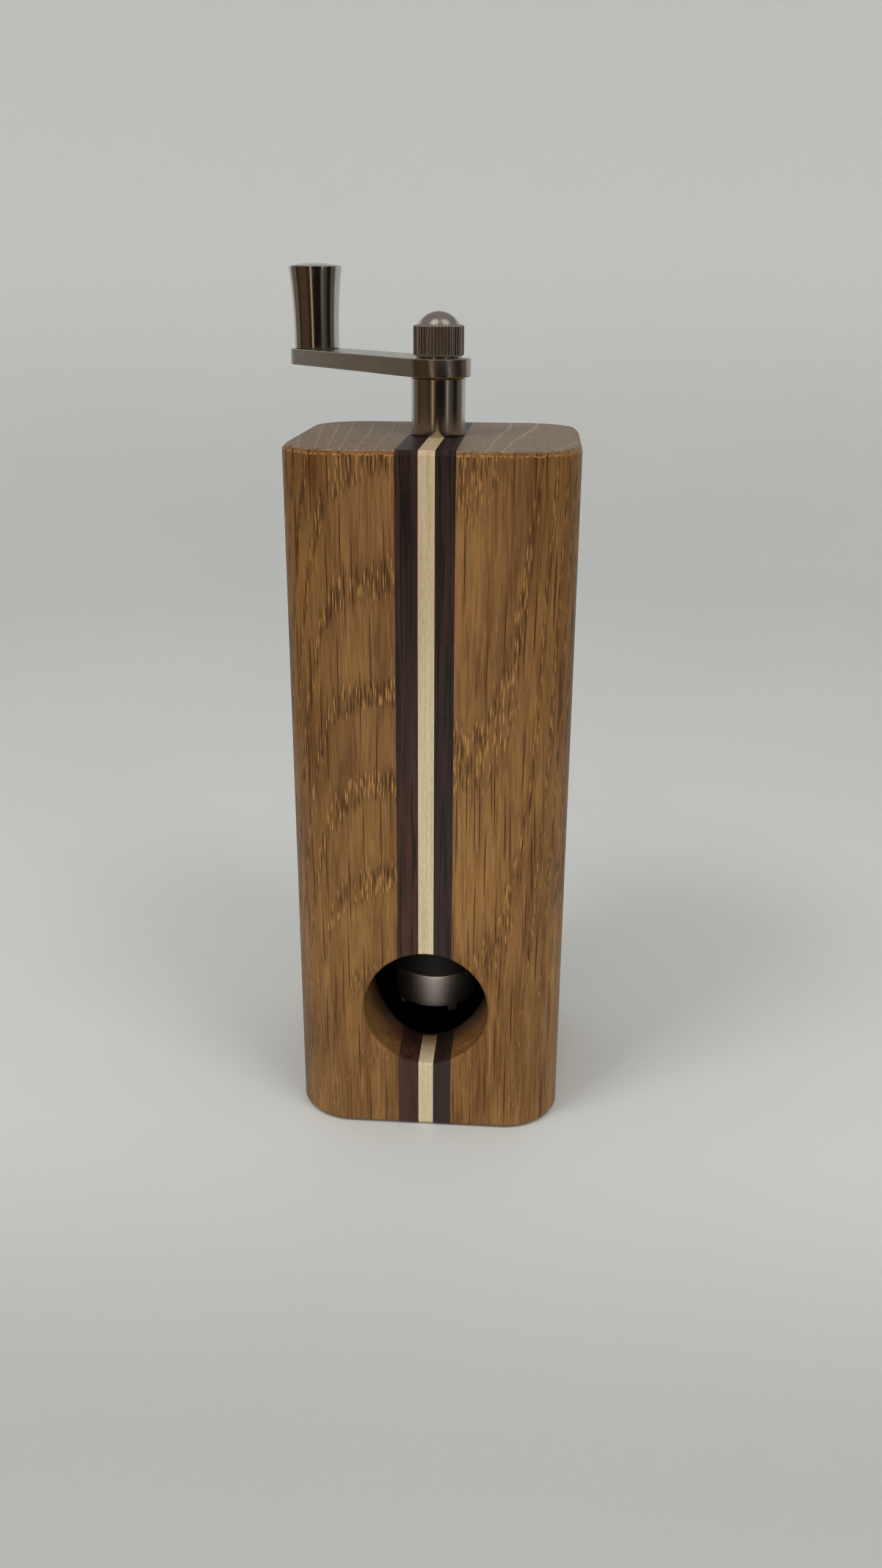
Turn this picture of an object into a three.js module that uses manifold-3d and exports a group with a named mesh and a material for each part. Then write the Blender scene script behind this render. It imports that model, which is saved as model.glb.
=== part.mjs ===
// A hand-cranked burr mill in a square, laminated wooden block.
//
// Millimetres, +Z up. The origin is the centre of the underside, on the spindle's axis.
// The round port that gives the ground coffee faces -Y, and the crank's grip points to the back left.
//
// The spindle runs the whole height of the block. The crank turns it through a square, and the knurled
// nut above the crank pulls it up against a spring, which closes the gap between the two burrs.

import * as THREE from 'three';
import { mergeVertices } from 'three/addons/utils/BufferGeometryUtils.js';
import Module from 'manifold-3d';

const wasm = await Module();
wasm.setup();

// ---------------------------------------------------------------- driving dimensions

// Clearances
const SEAT_GAP = 0.3; // between fixed pieces whose round or cut faces meet
const RUNNING_GAP = 0.08; // radial, between a shaft and its bore
const FIXED_FIT = 0.06; // radial, between a pin and the piece that is pressed or screwed on it

// Wooden block
const BODY_WIDTH = 65;
const BODY_DEPTH = 65;
const BODY_HEIGHT = 165;
const CORNER_RADIUS = 13.8;
const EDGE_CHAMFER = 1;
const STRIPS_START = -6.7; // left face of the glued-in band
const DARK_LEFT_WIDTH = 4.95;
const LIGHT_WIDTH = 3.6;
const DARK_RIGHT_WIDTH = 4.35;

// Bores in the block
const PORT_RADIUS = 15;
const PORT_HEIGHT = 33; // centre of the port above the underside
const PORT_HEADROOM = 2; // from the port's crown up to the chamber's ceiling
const PORT_EASE = 0.7; // radius of the rounded rim where the port meets the front face
const CHAMBER_RADIUS = 19;
const HOPPER_RADIUS = 13.5;
const TOP_WALL = 12;

// Top bush, the steel collar that carries the crank
const BUSH_RADIUS = 6.13;
const BUSH_HEIGHT = 12.5;
const BUSH_CHAMFER = 0.25;
const BUSH_SPIGOT_RADIUS = 5;
const BUSH_NUT_RADIUS = 9;
const BUSH_NUT_HEIGHT = 3;
const BUSH_SPIGOT_STUB = 0.6; // how far the spigot stands out below its nut
const THRUST_WASHER_RADIUS = 5.4;
const THRUST_WASHER_THICKNESS = 0.3;

// Crank arm
const ARM_LENGTH = 59.8; // spindle axis to grip axis
const ARM_ANGLE = THREE.MathUtils.degToRad(126.5);
const ARM_THICKNESS = 3.9;
const ARM_HUB_RADIUS = 7.3;
const ARM_END_RADIUS = 6.9;
const ARM_EDGE = 0.15;

// Grip and its axle
const GRIP_BOTTOM_RADIUS = 5.76;
const GRIP_TOP_RADIUS = 6.77;
const GRIP_HEIGHT = 20.7;
const GRIP_FLARE_POWER = 2.6;
const GRIP_EDGE = 0.4;
const GRIP_CROWN = 0.75; // rise of the slightly domed top
const GRIP_END_WALL = 3;
const GRIP_WASHER_THICKNESS = 0.1;
const GRIP_WASHER_RADIUS = 4.4;
const AXLE_RADIUS = 2.2;
const AXLE_TAIL_RADIUS = 1.5;
const AXLE_TIP_GAP = 0.8;
const SNAP_RING_HEIGHT = 0.8;
const SNAP_RING_DEPTH = 0.45; // how far it reaches out of the axle's groove, and into it
const SNAP_RING_DROP = 4; // from the axle's tip down to the groove
const SNAP_RING_MOUTH = THREE.MathUtils.degToRad(50);

// Spindle
const SPINDLE_RADIUS = 3;
const SPINDLE_FOOT_RADIUS = 2.5;
const SQUARE_RELIEF = 0.03; // from the round shaft's surface in to the square's corners
const STUD_RADIUS = 2;
const SPINDLE_LIFT = 1.05; // travel up or down from the middle setting

// Adjuster: the knurled nut and its domed cap
const NUT_RADIUS = 5.75;
const NUT_HEIGHT = 7.3;
const NUT_NECK_RADIUS = 5.07;
const NUT_NECK_HEIGHT = 0.5;
const NUT_CHAMFER = 0.35;
const NUT_RIDGES = 44;
const RIDGE_DEPTH = 0.3;
const CAP_RADIUS = 4.82;
const CAP_RISE = 2.9;
const CAP_SPIGOT_RADIUS = 3.6;
const CAP_SPIGOT_HEIGHT = 1.1;

// Burr carrier, which hangs in the chamber
const FLANGE_THICKNESS = 4;
const FUNNEL_HEIGHT = 10;
const TUBE_HEIGHT = 6;
const NECK_HEIGHT = 4;
const THROAT_RADIUS = 12.6;
const TUBE_BORE_RADIUS = 8.6;
const CARRIER_WALL = 1.0;
const SPIDER_ARMS = 3;
const SPIDER_ARM_WIDTH = 3;
const SPIDER_HUB_RADIUS = 6.5;
const SPINDLE_BUSH_RADIUS = 4.2;
const SPINDLE_BUSH_FLANGE_RADIUS = 6;
const SPINDLE_BUSH_FLANGE_THICKNESS = 0.8;

// Screws through the carrier's flange
const SCREW_COUNT = 4;
const SCREW_RADIUS = 1.3;
const SCREW_HEAD_RADIUS = 2;
const SCREW_HEAD_HEIGHT = 1.5;
const SCREW_LENGTH = 11;
const SCREW_SLOT_WIDTH = 0.7;
const SCREW_SLOT_DEPTH = 0.6;

// Clamp ring and burrs
const RING_HEIGHT = 9;
const RING_WALL = 0.7;
const RING_LIP_HEIGHT = 0.6;
const RING_LIP_WIDTH = 1;
const LUG_COUNT = 4;
const LUG_WIDTH = 2.4;
const LUG_HEIGHT = 1.7;
const LUG_FIRST_ANGLE = THREE.MathUtils.degToRad(29);
const BURR_TEETH = 24;
const TOOTH_DEPTH = 0.6;
const BURR_GAP = 0.7; // radial, at the middle setting
const BURR_SLOPE = 0.4; // radius lost per millimetre of height
const INNER_BURR_HEIGHT = 8.4;
const INNER_BURR_TEETH = 18;
const INNER_BURR_TWIST = THREE.MathUtils.degToRad(35);
const BURR_NUT_RADIUS = 4.2;
const BURR_NUT_HEIGHT = 2.2;
const SPINDLE_STUB = 0.4; // spindle's end below the burr nut

// Lifting spring
const SPRING_WASHER_RADIUS = 5.2;
const SPRING_WASHER_THICKNESS = 0.8;
const SPRING_CLEARANCE = 0.75; // from the spindle to the inside of the coil
const SPRING_WIRE_RADIUS = 0.45;
const SPRING_TURNS = 5;
const SPRING_END_GAP = 0.12;

// Base plug
const PLUG_FLANGE_HEIGHT = 3;
const PLUG_FLANGE_OVERLAP = 3; // flange radius beyond the chamber's
const PLUG_HEIGHT = 9;
const SEAL_RADIUS = 0.75;
const SEAL_GROOVE_DEPTH = 1.5;
const SEAL_GROOVE_HEIGHT = 2.2;
const KEY_HOLE_RADIUS = 2.2;
const KEY_HOLE_DEPTH = 1.8;
const KEY_HOLE_SPACING = 24;

// Facets
const FINE_SIDES = 48;
const SHAFT_SIDES = 32;
const SMALL_SIDES = 16;
const CORNER_STEPS = 6; // per half of a quarter turn
const EASE_STEPS = 4;
const FLARE_STEPS = 6;
const DOME_STEPS = 6;

// ---------------------------------------------------------------- heights worked out from the above

const chamberTop = PORT_HEIGHT + PORT_RADIUS + PORT_HEADROOM;
const hopperTop = BODY_HEIGHT - TOP_WALL;
const flangeBottom = chamberTop - FLANGE_THICKNESS;
const funnelBottom = flangeBottom - FUNNEL_HEIGHT;
const ringTop = funnelBottom - TUBE_HEIGHT;
const ringBottom = ringTop - RING_HEIGHT;
const outerBurrBottom = ringBottom + RING_LIP_HEIGHT;
const outerBurrTop = ringTop - NECK_HEIGHT;
const innerBurrTop = ringBottom + INNER_BURR_HEIGHT;
const springWasherTop = innerBurrTop + SPRING_WASHER_THICKNESS;
const bushFlangeBottom = flangeBottom - SPINDLE_BUSH_FLANGE_THICKNESS;
const bushTop = BODY_HEIGHT + BUSH_HEIGHT;
const armBottom = bushTop + THRUST_WASHER_THICKNESS;
const armTop = armBottom + ARM_THICKNESS;
const nutBottom = armTop + SEAT_GAP;
const nutTop = nutBottom + NUT_HEIGHT - NUT_NECK_HEIGHT;
const gripBottom = armTop + GRIP_WASHER_THICKNESS;
const gripTop = gripBottom + GRIP_HEIGHT;

// The spindle's square stays inside the arm, and its stud inside the nut, over the whole lift.
const squareBottom = armBottom - SPINDLE_LIFT - SEAT_GAP;
const squareTop = armTop - SPINDLE_LIFT;
const studTop = nutTop - CAP_SPIGOT_HEIGHT - SPINDLE_LIFT - SEAT_GAP;

// Sizes shared by pieces that fit each other
const squareSide = (SPINDLE_RADIUS - SQUARE_RELIEF) * Math.SQRT2;
const shaftBoreRadius = SPINDLE_RADIUS + RUNNING_GAP;
const flangeRadius = CHAMBER_RADIUS - SEAT_GAP;
const screwCircleRadius = (THROAT_RADIUS + CARRIER_WALL + flangeRadius) / 2;
const neckRadius = TUBE_BORE_RADIUS + CARRIER_WALL;
const tubeRadius = neckRadius + RING_WALL;
const ringBoreRadius = neckRadius + SEAT_GAP;
const ringRadius = ringBoreRadius + RING_WALL;
const lipRadius = ringBoreRadius - RING_LIP_WIDTH;
const springCoilRadius = SPINDLE_RADIUS + SPRING_CLEARANCE + SPRING_WIRE_RADIUS;
const outerBurrRadius = neckRadius;

// ---------------------------------------------------------------- shaping helpers

/** A manifold solid from a closed three.js geometry. */
function toSolid(geometry) {
  const bare = geometry.clone();
  bare.deleteAttribute('normal');
  bare.deleteAttribute('uv');
  const merged = mergeVertices(bare, 1e-3);
  const corners = merged.index.array;
  const kept = [];
  for (let i = 0; i < corners.length; i += 3) {
    const [a, b, c] = corners.slice(i, i + 3);
    // Poles and closed seams leave triangles with two corners at one vertex.
    if (a !== b && b !== c && c !== a) kept.push(a, b, c);
  }
  return new wasm.Manifold(new wasm.Mesh({
    numProp: 3,
    vertProperties: Float32Array.from(merged.attributes.position.array),
    triVerts: Uint32Array.from(kept),
  }));
}

/** A three.js geometry from a manifold solid. */
function toGeometry(solid) {
  const mesh = solid.getMesh();
  const geometry = new THREE.BufferGeometry();
  geometry.setAttribute('position', new THREE.BufferAttribute(mesh.vertProperties, mesh.numProp));
  geometry.setIndex(new THREE.BufferAttribute(mesh.triVerts, 1));
  geometry.computeVertexNormals();
  return geometry;
}

/** A box between two corners. */
function block(x0, x1, y0, y1, z0, z1) {
  const box = new THREE.BoxGeometry(x1 - x0, y1 - y0, z1 - z0);
  return toSolid(box.translate((x0 + x1) / 2, (y0 + y1) / 2, (z0 + z1) / 2));
}

/** An upright cylinder on the Z axis, or a cone when the top radius differs. */
function rod(radius, z0, z1, sides = FINE_SIDES, topRadius = radius) {
  const cylinder = new THREE.CylinderGeometry(topRadius, radius, z1 - z0, sides);
  return toSolid(cylinder.rotateX(Math.PI / 2).translate(0, 0, (z0 + z1) / 2));
}

/** A solid turned about the Z axis. The profile of [radius, height] runs up the outside. */
function turned(profile, sides = FINE_SIDES) {
  const points = profile.map(([radius, height]) => new THREE.Vector2(radius, height));
  return toSolid(new THREE.LatheGeometry(points, sides).rotateX(Math.PI / 2));
}

/** A ring turned about the Z axis, with a rectangular section. */
function washer(innerRadius, outerRadius, z0, z1, sides = SHAFT_SIDES) {
  return turned([
    [outerRadius, z0], [outerRadius, z1], [innerRadius, z1], [innerRadius, z0], [outerRadius, z0],
  ], sides);
}

/** An outline extruded upward, with its edges bevelled when bevel is above zero. */
function prism(shape, z0, z1, { bevel = 0, steps = 1, curveSegments = CORNER_STEPS } = {}) {
  const geometry = new THREE.ExtrudeGeometry(shape, {
    depth: z1 - z0 - 2 * bevel,
    steps,
    curveSegments,
    bevelEnabled: bevel > 0,
    bevelThickness: bevel,
    bevelSize: bevel,
    bevelOffset: -bevel,
    bevelSegments: 1,
  });
  return toSolid(geometry.translate(0, 0, z0 + bevel));
}

/** A closed outline through points given as [radius, angle]. */
function polarShape(points) {
  return new THREE.Shape(points.map(([radius, angle]) => (
    new THREE.Vector2(radius * Math.cos(angle), radius * Math.sin(angle)))));
}

/** A ring of pointed teeth. */
function toothedShape(rootRadius, tipRadius, teeth) {
  const points = [];
  for (let tooth = 0; tooth < teeth; tooth += 1) {
    const angle = (2 * Math.PI * tooth) / teeth;
    points.push([rootRadius, angle], [tipRadius, angle + Math.PI / teeth]);
  }
  return polarShape(points);
}

/** A toothed cone: an extruded outline that shrinks by the burrs' slope and twists as it rises. */
function toothedCone(rootRadius, tipRadius, teeth, z0, z1, twist, steps) {
  const shape = toothedShape(rootRadius, tipRadius, teeth);
  const geometry = new THREE.ExtrudeGeometry(shape, { depth: z1 - z0, steps, bevelEnabled: false });
  const position = geometry.attributes.position;
  const point = new THREE.Vector3();
  for (let i = 0; i < position.count; i += 1) {
    point.fromBufferAttribute(position, i);
    const rise = point.z;
    const shrink = 1 - (BURR_SLOPE * rise) / tipRadius;
    point.applyAxisAngle(new THREE.Vector3(0, 0, 1), (twist * rise) / (z1 - z0));
    position.setXYZ(i, point.x * shrink, point.y * shrink, rise + z0);
  }
  return toSolid(geometry);
}

/** A solid moved sideways. */
function shifted(solid, x, y) {
  return toSolid(toGeometry(solid).translate(x, y, 0));
}

/** A solid turned about the Z axis by an angle in radians. */
function spun(solid, angle) {
  return toSolid(toGeometry(solid).rotateZ(angle));
}

/** Evenly spaced angles round a full turn. */
function ringAngles(count, first = 0) {
  return Array.from({ length: count }, (_, index) => first + (2 * Math.PI * index) / count);
}

// ---------------------------------------------------------------- materials

const paint = (color, roughness, metalness) => () => (
  new THREE.MeshStandardMaterial({ color, roughness, metalness }));

const oak = paint(0xb58a55, 0.6, 0);
const darkWood = paint(0x3b2622, 0.6, 0);
const lightWood = paint(0xdcc59a, 0.6, 0);
const polishedSteel = paint(0xa8a49c, 0.15, 1);
const satinSteel = paint(0x9a968f, 0.4, 1);
const springSteel = paint(0x77777a, 0.35, 1);
const bronze = paint(0xa77a3d, 0.4, 1);
const blackPlastic = paint(0x141414, 0.55, 0);
const blackRubber = paint(0x0c0c0c, 0.9, 0);
const paleNylon = paint(0xe6e2d6, 0.5, 0);

/** A named mesh. */
function piece(name, solid, material) {
  const mesh = new THREE.Mesh(toGeometry(solid), material());
  mesh.name = name;
  return mesh;
}

// ---------------------------------------------------------------- wooden block

/** Rounded square of the block, seen from above. */
function bodyOutline() {
  const x = BODY_WIDTH / 2 - CORNER_RADIUS;
  const y = BODY_DEPTH / 2 - CORNER_RADIUS;
  const quarter = Math.PI / 2;
  const shape = new THREE.Shape();
  shape.absarc(x, y, CORNER_RADIUS, 0, quarter, false);
  shape.absarc(-x, y, CORNER_RADIUS, quarter, 2 * quarter, false);
  shape.absarc(-x, -y, CORNER_RADIUS, 2 * quarter, 3 * quarter, false);
  shape.absarc(x, -y, CORNER_RADIUS, 3 * quarter, 4 * quarter, false);
  return shape;
}

/** The port: a horizontal bore from the front face into the chamber, with a rounded rim. */
function portBore() {
  const face = -BODY_DEPTH / 2;
  const profile = [[0, face - 1], [PORT_RADIUS + PORT_EASE, face - 1]];
  for (let step = 0; step <= EASE_STEPS; step += 1) {
    const angle = (Math.PI / 2) * (step / EASE_STEPS);
    profile.push([
      PORT_RADIUS + PORT_EASE * (1 - Math.sin(angle)),
      face + PORT_EASE * (1 - Math.cos(angle)),
    ]);
  }
  profile.push([PORT_RADIUS, 0], [0, 0]);
  const points = profile.map(([radius, y]) => new THREE.Vector2(radius, y));
  return toSolid(new THREE.LatheGeometry(points, FINE_SIDES).translate(0, 0, PORT_HEIGHT));
}

/** Copies of a solid at the carrier screws' places. */
function atScrews(solid) {
  return ringAngles(SCREW_COUNT, Math.PI / SCREW_COUNT).map((angle) => (
    shifted(solid, screwCircleRadius * Math.cos(angle), screwCircleRadius * Math.sin(angle))));
}

/** The whole block, bored out but not yet parted into its glued pieces. */
function boredBlock() {
  const plugFlangeRadius = CHAMBER_RADIUS + PLUG_FLANGE_OVERLAP;
  const screwHole = rod(SCREW_RADIUS + SEAT_GAP, chamberTop - 1, chamberTop + SCREW_LENGTH, SMALL_SIDES);
  const bores = [
    rod(plugFlangeRadius, -1, PLUG_FLANGE_HEIGHT),
    rod(CHAMBER_RADIUS, 0, chamberTop),
    rod(HOPPER_RADIUS, chamberTop - 1, hopperTop),
    rod(BUSH_SPIGOT_RADIUS + SEAT_GAP, hopperTop - 1, BODY_HEIGHT + 1, SHAFT_SIDES),
    portBore(),
    ...atScrews(screwHole),
  ];
  const block = prism(bodyOutline(), 0, BODY_HEIGHT, { bevel: EDGE_CHAMFER });
  return bores.reduce((solid, bore) => solid.subtract(bore), block);
}

/** The block's glued pieces: two oak halves with a band of three strips between them. */
function woodenBody() {
  const whole = boredBlock();
  const halfWidth = BODY_WIDTH / 2;
  const halfDepth = BODY_DEPTH / 2;
  const lightStart = STRIPS_START + DARK_LEFT_WIDTH;
  const darkRightStart = lightStart + LIGHT_WIDTH;
  const stripsEnd = darkRightStart + DARK_RIGHT_WIDTH;
  const slice = (x0, x1) => whole.intersect(block(x0, x1, -halfDepth, halfDepth, 0, BODY_HEIGHT));

  // The chamber and the port leave a short sill of each strip standing alone below the port.
  const sill = block(-halfWidth, halfWidth, -halfDepth, 0, 0, PORT_HEIGHT);
  const front = block(-halfWidth, halfWidth, -halfDepth, 0, PORT_HEIGHT, BODY_HEIGHT);
  const back = block(-halfWidth, halfWidth, 0, halfDepth, 0, BODY_HEIGHT);
  const darkLeft = slice(STRIPS_START, lightStart);
  const light = slice(lightStart, darkRightStart);
  const darkRight = slice(darkRightStart, stripsEnd);

  const group = new THREE.Group();
  group.add(
    piece('oak_left', slice(-halfWidth, STRIPS_START), oak),
    piece('oak_right', slice(stripsEnd, halfWidth), oak),
    piece('dark_strip_left', darkLeft.subtract(sill), darkWood),
    piece('dark_strip_left_sill', darkLeft.intersect(sill), darkWood),
    piece('light_strip_front', light.intersect(front), lightWood),
    piece('light_strip_back', light.intersect(back), lightWood),
    piece('light_strip_sill', light.intersect(sill), lightWood),
    piece('dark_strip_right', darkRight.subtract(sill), darkWood),
    piece('dark_strip_right_sill', darkRight.intersect(sill), darkWood),
  );
  return group;
}

// ---------------------------------------------------------------- base plug

/** Plug that closes the chamber from below, with its rubber seal. */
function basePlug() {
  const rimRadius = CHAMBER_RADIUS + PLUG_FLANGE_OVERLAP - SEAT_GAP;
  const bodyRadius = CHAMBER_RADIUS - SEAT_GAP;
  const grooveMiddle = (PLUG_FLANGE_HEIGHT + PLUG_HEIGHT) / 2;
  const grooveBottom = grooveMiddle - SEAL_GROOVE_HEIGHT / 2;
  const grooveTop = grooveMiddle + SEAL_GROOVE_HEIGHT / 2;
  const grooveRadius = bodyRadius - SEAL_GROOVE_DEPTH;
  let plug = turned([
    [0, 0], [rimRadius, 0], [rimRadius, PLUG_FLANGE_HEIGHT], [bodyRadius, PLUG_FLANGE_HEIGHT],
    [bodyRadius, grooveBottom], [grooveRadius, grooveBottom], [grooveRadius, grooveTop],
    [bodyRadius, grooveTop], [bodyRadius, PLUG_HEIGHT], [0, PLUG_HEIGHT],
  ], SHAFT_SIDES);
  for (const side of [-1, 1]) {
    const keyHole = rod(KEY_HOLE_RADIUS, -1, KEY_HOLE_DEPTH, SMALL_SIDES);
    plug = plug.subtract(shifted(keyHole, (side * KEY_HOLE_SPACING) / 2, 0));
  }
  const sealMiddle = grooveRadius + SEAL_RADIUS + FIXED_FIT;
  const seal = new THREE.TorusGeometry(sealMiddle, SEAL_RADIUS, 6, SHAFT_SIDES).translate(0, 0, grooveMiddle);

  const group = new THREE.Group();
  group.add(
    piece('base_plug', plug, blackPlastic),
    piece('plug_seal', toSolid(seal), blackRubber),
  );
  return group;
}

// ---------------------------------------------------------------- top bush

/** Steel collar on the block's top, the nut that holds it from the hopper, and its washer. */
function topBush() {
  const spigotBottom = hopperTop - BUSH_NUT_HEIGHT - BUSH_SPIGOT_STUB;
  const bush = turned([
    [shaftBoreRadius, spigotBottom], [BUSH_SPIGOT_RADIUS, spigotBottom], [BUSH_SPIGOT_RADIUS, BODY_HEIGHT],
    [BUSH_RADIUS, BODY_HEIGHT], [BUSH_RADIUS, bushTop - BUSH_CHAMFER], [BUSH_RADIUS - BUSH_CHAMFER, bushTop],
    [shaftBoreRadius, bushTop], [shaftBoreRadius, spigotBottom],
  ], SHAFT_SIDES);
  const seatNutBottom = hopperTop - BUSH_NUT_HEIGHT;
  const nut = rod(BUSH_NUT_RADIUS, seatNutBottom, hopperTop, 6)
    .subtract(rod(BUSH_SPIGOT_RADIUS + SEAT_GAP, seatNutBottom - 1, hopperTop + 1, SHAFT_SIDES));
  const thrustWasher = washer(shaftBoreRadius + SEAT_GAP, THRUST_WASHER_RADIUS, bushTop, armBottom);

  const group = new THREE.Group();
  group.add(
    piece('top_bush', bush, satinSteel),
    piece('bush_nut', nut, satinSteel),
    piece('thrust_washer', thrustWasher, bronze),
  );
  return group;
}

// ---------------------------------------------------------------- burr carrier and fixed burr

/** Moulded carrier: a flange under the chamber's ceiling, a funnel, and a tube that holds the burr. */
function carrierSolid() {
  const throatOuter = THROAT_RADIUS + CARRIER_WALL;
  let solid = turned([
    [neckRadius, outerBurrTop], [neckRadius, ringTop], [tubeRadius, ringTop], [tubeRadius, funnelBottom],
    [throatOuter, flangeBottom], [flangeRadius, flangeBottom], [flangeRadius, chamberTop],
    [THROAT_RADIUS, chamberTop], [THROAT_RADIUS, flangeBottom], [TUBE_BORE_RADIUS, funnelBottom],
    [TUBE_BORE_RADIUS, outerBurrTop], [neckRadius, outerBurrTop],
  ], SHAFT_SIDES);
  solid = solid.add(rod(SPIDER_HUB_RADIUS, flangeBottom, chamberTop, SHAFT_SIDES));
  const armReach = THROAT_RADIUS + CARRIER_WALL / 2;
  for (const angle of ringAngles(SPIDER_ARMS, Math.PI / 2)) {
    const arm = block(0, armReach, -SPIDER_ARM_WIDTH / 2, SPIDER_ARM_WIDTH / 2, flangeBottom, chamberTop);
    solid = solid.add(spun(arm, angle));
  }
  const hubBore = rod(SPINDLE_BUSH_RADIUS + SEAT_GAP, flangeBottom - 1, chamberTop + 1, SHAFT_SIDES);
  const screwHole = rod(SCREW_RADIUS + SEAT_GAP, flangeBottom - 1, chamberTop + 1, SMALL_SIDES);
  return [hubBore, ...atScrews(screwHole)].reduce((whole, bore) => whole.subtract(bore), solid);
}

/** One slotted round-head screw, pointing up. */
function screwSolid() {
  const headBottom = flangeBottom - SCREW_HEAD_HEIGHT;
  const head = rod(SCREW_HEAD_RADIUS, headBottom, flangeBottom, SMALL_SIDES);
  const shankBottom = headBottom + SCREW_HEAD_HEIGHT / 2;
  const shank = rod(SCREW_RADIUS, shankBottom, flangeBottom + SCREW_LENGTH, SMALL_SIDES);
  const halfSlot = SCREW_SLOT_WIDTH / 2;
  const slot = block(-SCREW_HEAD_RADIUS, SCREW_HEAD_RADIUS, -halfSlot, halfSlot,
    headBottom - 1, headBottom + SCREW_SLOT_DEPTH);
  return head.add(shank).subtract(slot);
}

/** Ring that clamps the outer burr to the carrier, with lugs for a key under its rim. */
function clampRing() {
  let solid = turned([
    [lipRadius, ringBottom], [ringRadius, ringBottom], [ringRadius, ringTop], [ringBoreRadius, ringTop],
    [ringBoreRadius, outerBurrBottom], [lipRadius, outerBurrBottom], [lipRadius, ringBottom],
  ]);
  const lugBottom = ringBottom - LUG_HEIGHT;
  const skirt = washer(lipRadius, ringRadius, lugBottom, ringBottom + RING_LIP_HEIGHT / 2, FINE_SIDES);
  for (const angle of ringAngles(LUG_COUNT, LUG_FIRST_ANGLE)) {
    const lug = block(0, ringRadius + 1, -LUG_WIDTH / 2, LUG_WIDTH / 2, lugBottom, ringTop);
    solid = solid.add(skirt.intersect(spun(lug, angle)));
  }
  return solid;
}

/** Fixed burr: a ring with teeth on its inner cone. */
function outerBurr() {
  const overrun = 0.5;
  const mouthRadius = outerBurrRadius - CARRIER_WALL - TOOTH_DEPTH + BURR_SLOPE * overrun;
  const mouth = toothedCone(mouthRadius, mouthRadius + TOOTH_DEPTH, BURR_TEETH,
    outerBurrBottom - overrun, outerBurrTop + overrun, 0, 1);
  return rod(outerBurrRadius, outerBurrBottom, outerBurrTop).subtract(mouth);
}

/** Everything that is screwed to the chamber's ceiling. */
function burrCarrier() {
  const spindleBush = turned([
    [shaftBoreRadius, bushFlangeBottom], [SPINDLE_BUSH_FLANGE_RADIUS, bushFlangeBottom],
    [SPINDLE_BUSH_FLANGE_RADIUS, flangeBottom], [SPINDLE_BUSH_RADIUS, flangeBottom],
    [SPINDLE_BUSH_RADIUS, chamberTop], [shaftBoreRadius, chamberTop], [shaftBoreRadius, bushFlangeBottom],
  ], SHAFT_SIDES);

  const group = new THREE.Group();
  group.add(
    piece('burr_carrier', carrierSolid(), blackPlastic),
    piece('spindle_bush', spindleBush, bronze),
    piece('clamp_ring', clampRing(), polishedSteel),
    piece('outer_burr', outerBurr(), satinSteel),
  );
  ringAngles(SCREW_COUNT, Math.PI / SCREW_COUNT).forEach((angle, index) => {
    const screw = piece(`carrier_screw_${index + 1}`, screwSolid(), satinSteel);
    screw.position.set(screwCircleRadius * Math.cos(angle), screwCircleRadius * Math.sin(angle), 0);
    group.add(screw);
  });
  return group;
}

// ---------------------------------------------------------------- spindle and turning burr

/** A square of the given side, turned to stand in line with the arm. */
function squareShape(side) {
  const corners = ringAngles(4, Math.PI / 4 + ARM_ANGLE);
  return polarShape(corners.map((angle) => [side / Math.SQRT2, angle]));
}

/** Spindle: a foot for the burr, a long shaft, a square for the crank and a stud for the nut. */
function spindleSolid() {
  const footBottom = ringBottom - BURR_NUT_HEIGHT - SPINDLE_STUB;
  const shaft = turned([
    [0, footBottom], [SPINDLE_FOOT_RADIUS, footBottom], [SPINDLE_FOOT_RADIUS, innerBurrTop],
    [SPINDLE_RADIUS, innerBurrTop], [SPINDLE_RADIUS, squareBottom], [0, squareBottom],
  ], SHAFT_SIDES);
  return shaft
    .add(prism(squareShape(squareSide), squareBottom - 1, squareTop))
    .add(rod(STUD_RADIUS, squareTop - 1, studTop, SHAFT_SIDES));
}

/** Turning burr: a toothed cone, wider below, bored for the spindle's foot. */
function innerBurr() {
  const fixedTeethRadius = outerBurrRadius - CARRIER_WALL - TOOTH_DEPTH;
  const tipRadius = fixedTeethRadius - BURR_GAP + BURR_SLOPE * RING_LIP_HEIGHT;
  return toothedCone(tipRadius - TOOTH_DEPTH, tipRadius, INNER_BURR_TEETH, ringBottom, innerBurrTop,
    INNER_BURR_TWIST, 4)
    .subtract(rod(SPINDLE_FOOT_RADIUS + FIXED_FIT, ringBottom - 1, innerBurrTop + 1, SHAFT_SIDES));
}

/** Centre line of the spring's wire. */
class Helix extends THREE.Curve {
  constructor(radius, z0, z1, turns) {
    super();
    this.radius = radius;
    this.z0 = z0;
    this.z1 = z1;
    this.turns = turns;
  }

  getPoint(t, target = new THREE.Vector3()) {
    const angle = 2 * Math.PI * this.turns * t;
    return target.set(this.radius * Math.cos(angle), this.radius * Math.sin(angle),
      THREE.MathUtils.lerp(this.z0, this.z1, t));
  }
}

/** Compression spring between the washer on the burr and the bush above it. */
function springSolid() {
  const inset = SPRING_WIRE_RADIUS + SPRING_END_GAP;
  const path = new Helix(springCoilRadius, springWasherTop + inset, bushFlangeBottom - inset, SPRING_TURNS);
  const section = polarShape(ringAngles(6).map((angle) => [SPRING_WIRE_RADIUS, angle]));
  return toSolid(new THREE.ExtrudeGeometry(section, { steps: 12 * SPRING_TURNS, extrudePath: path }));
}

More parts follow.
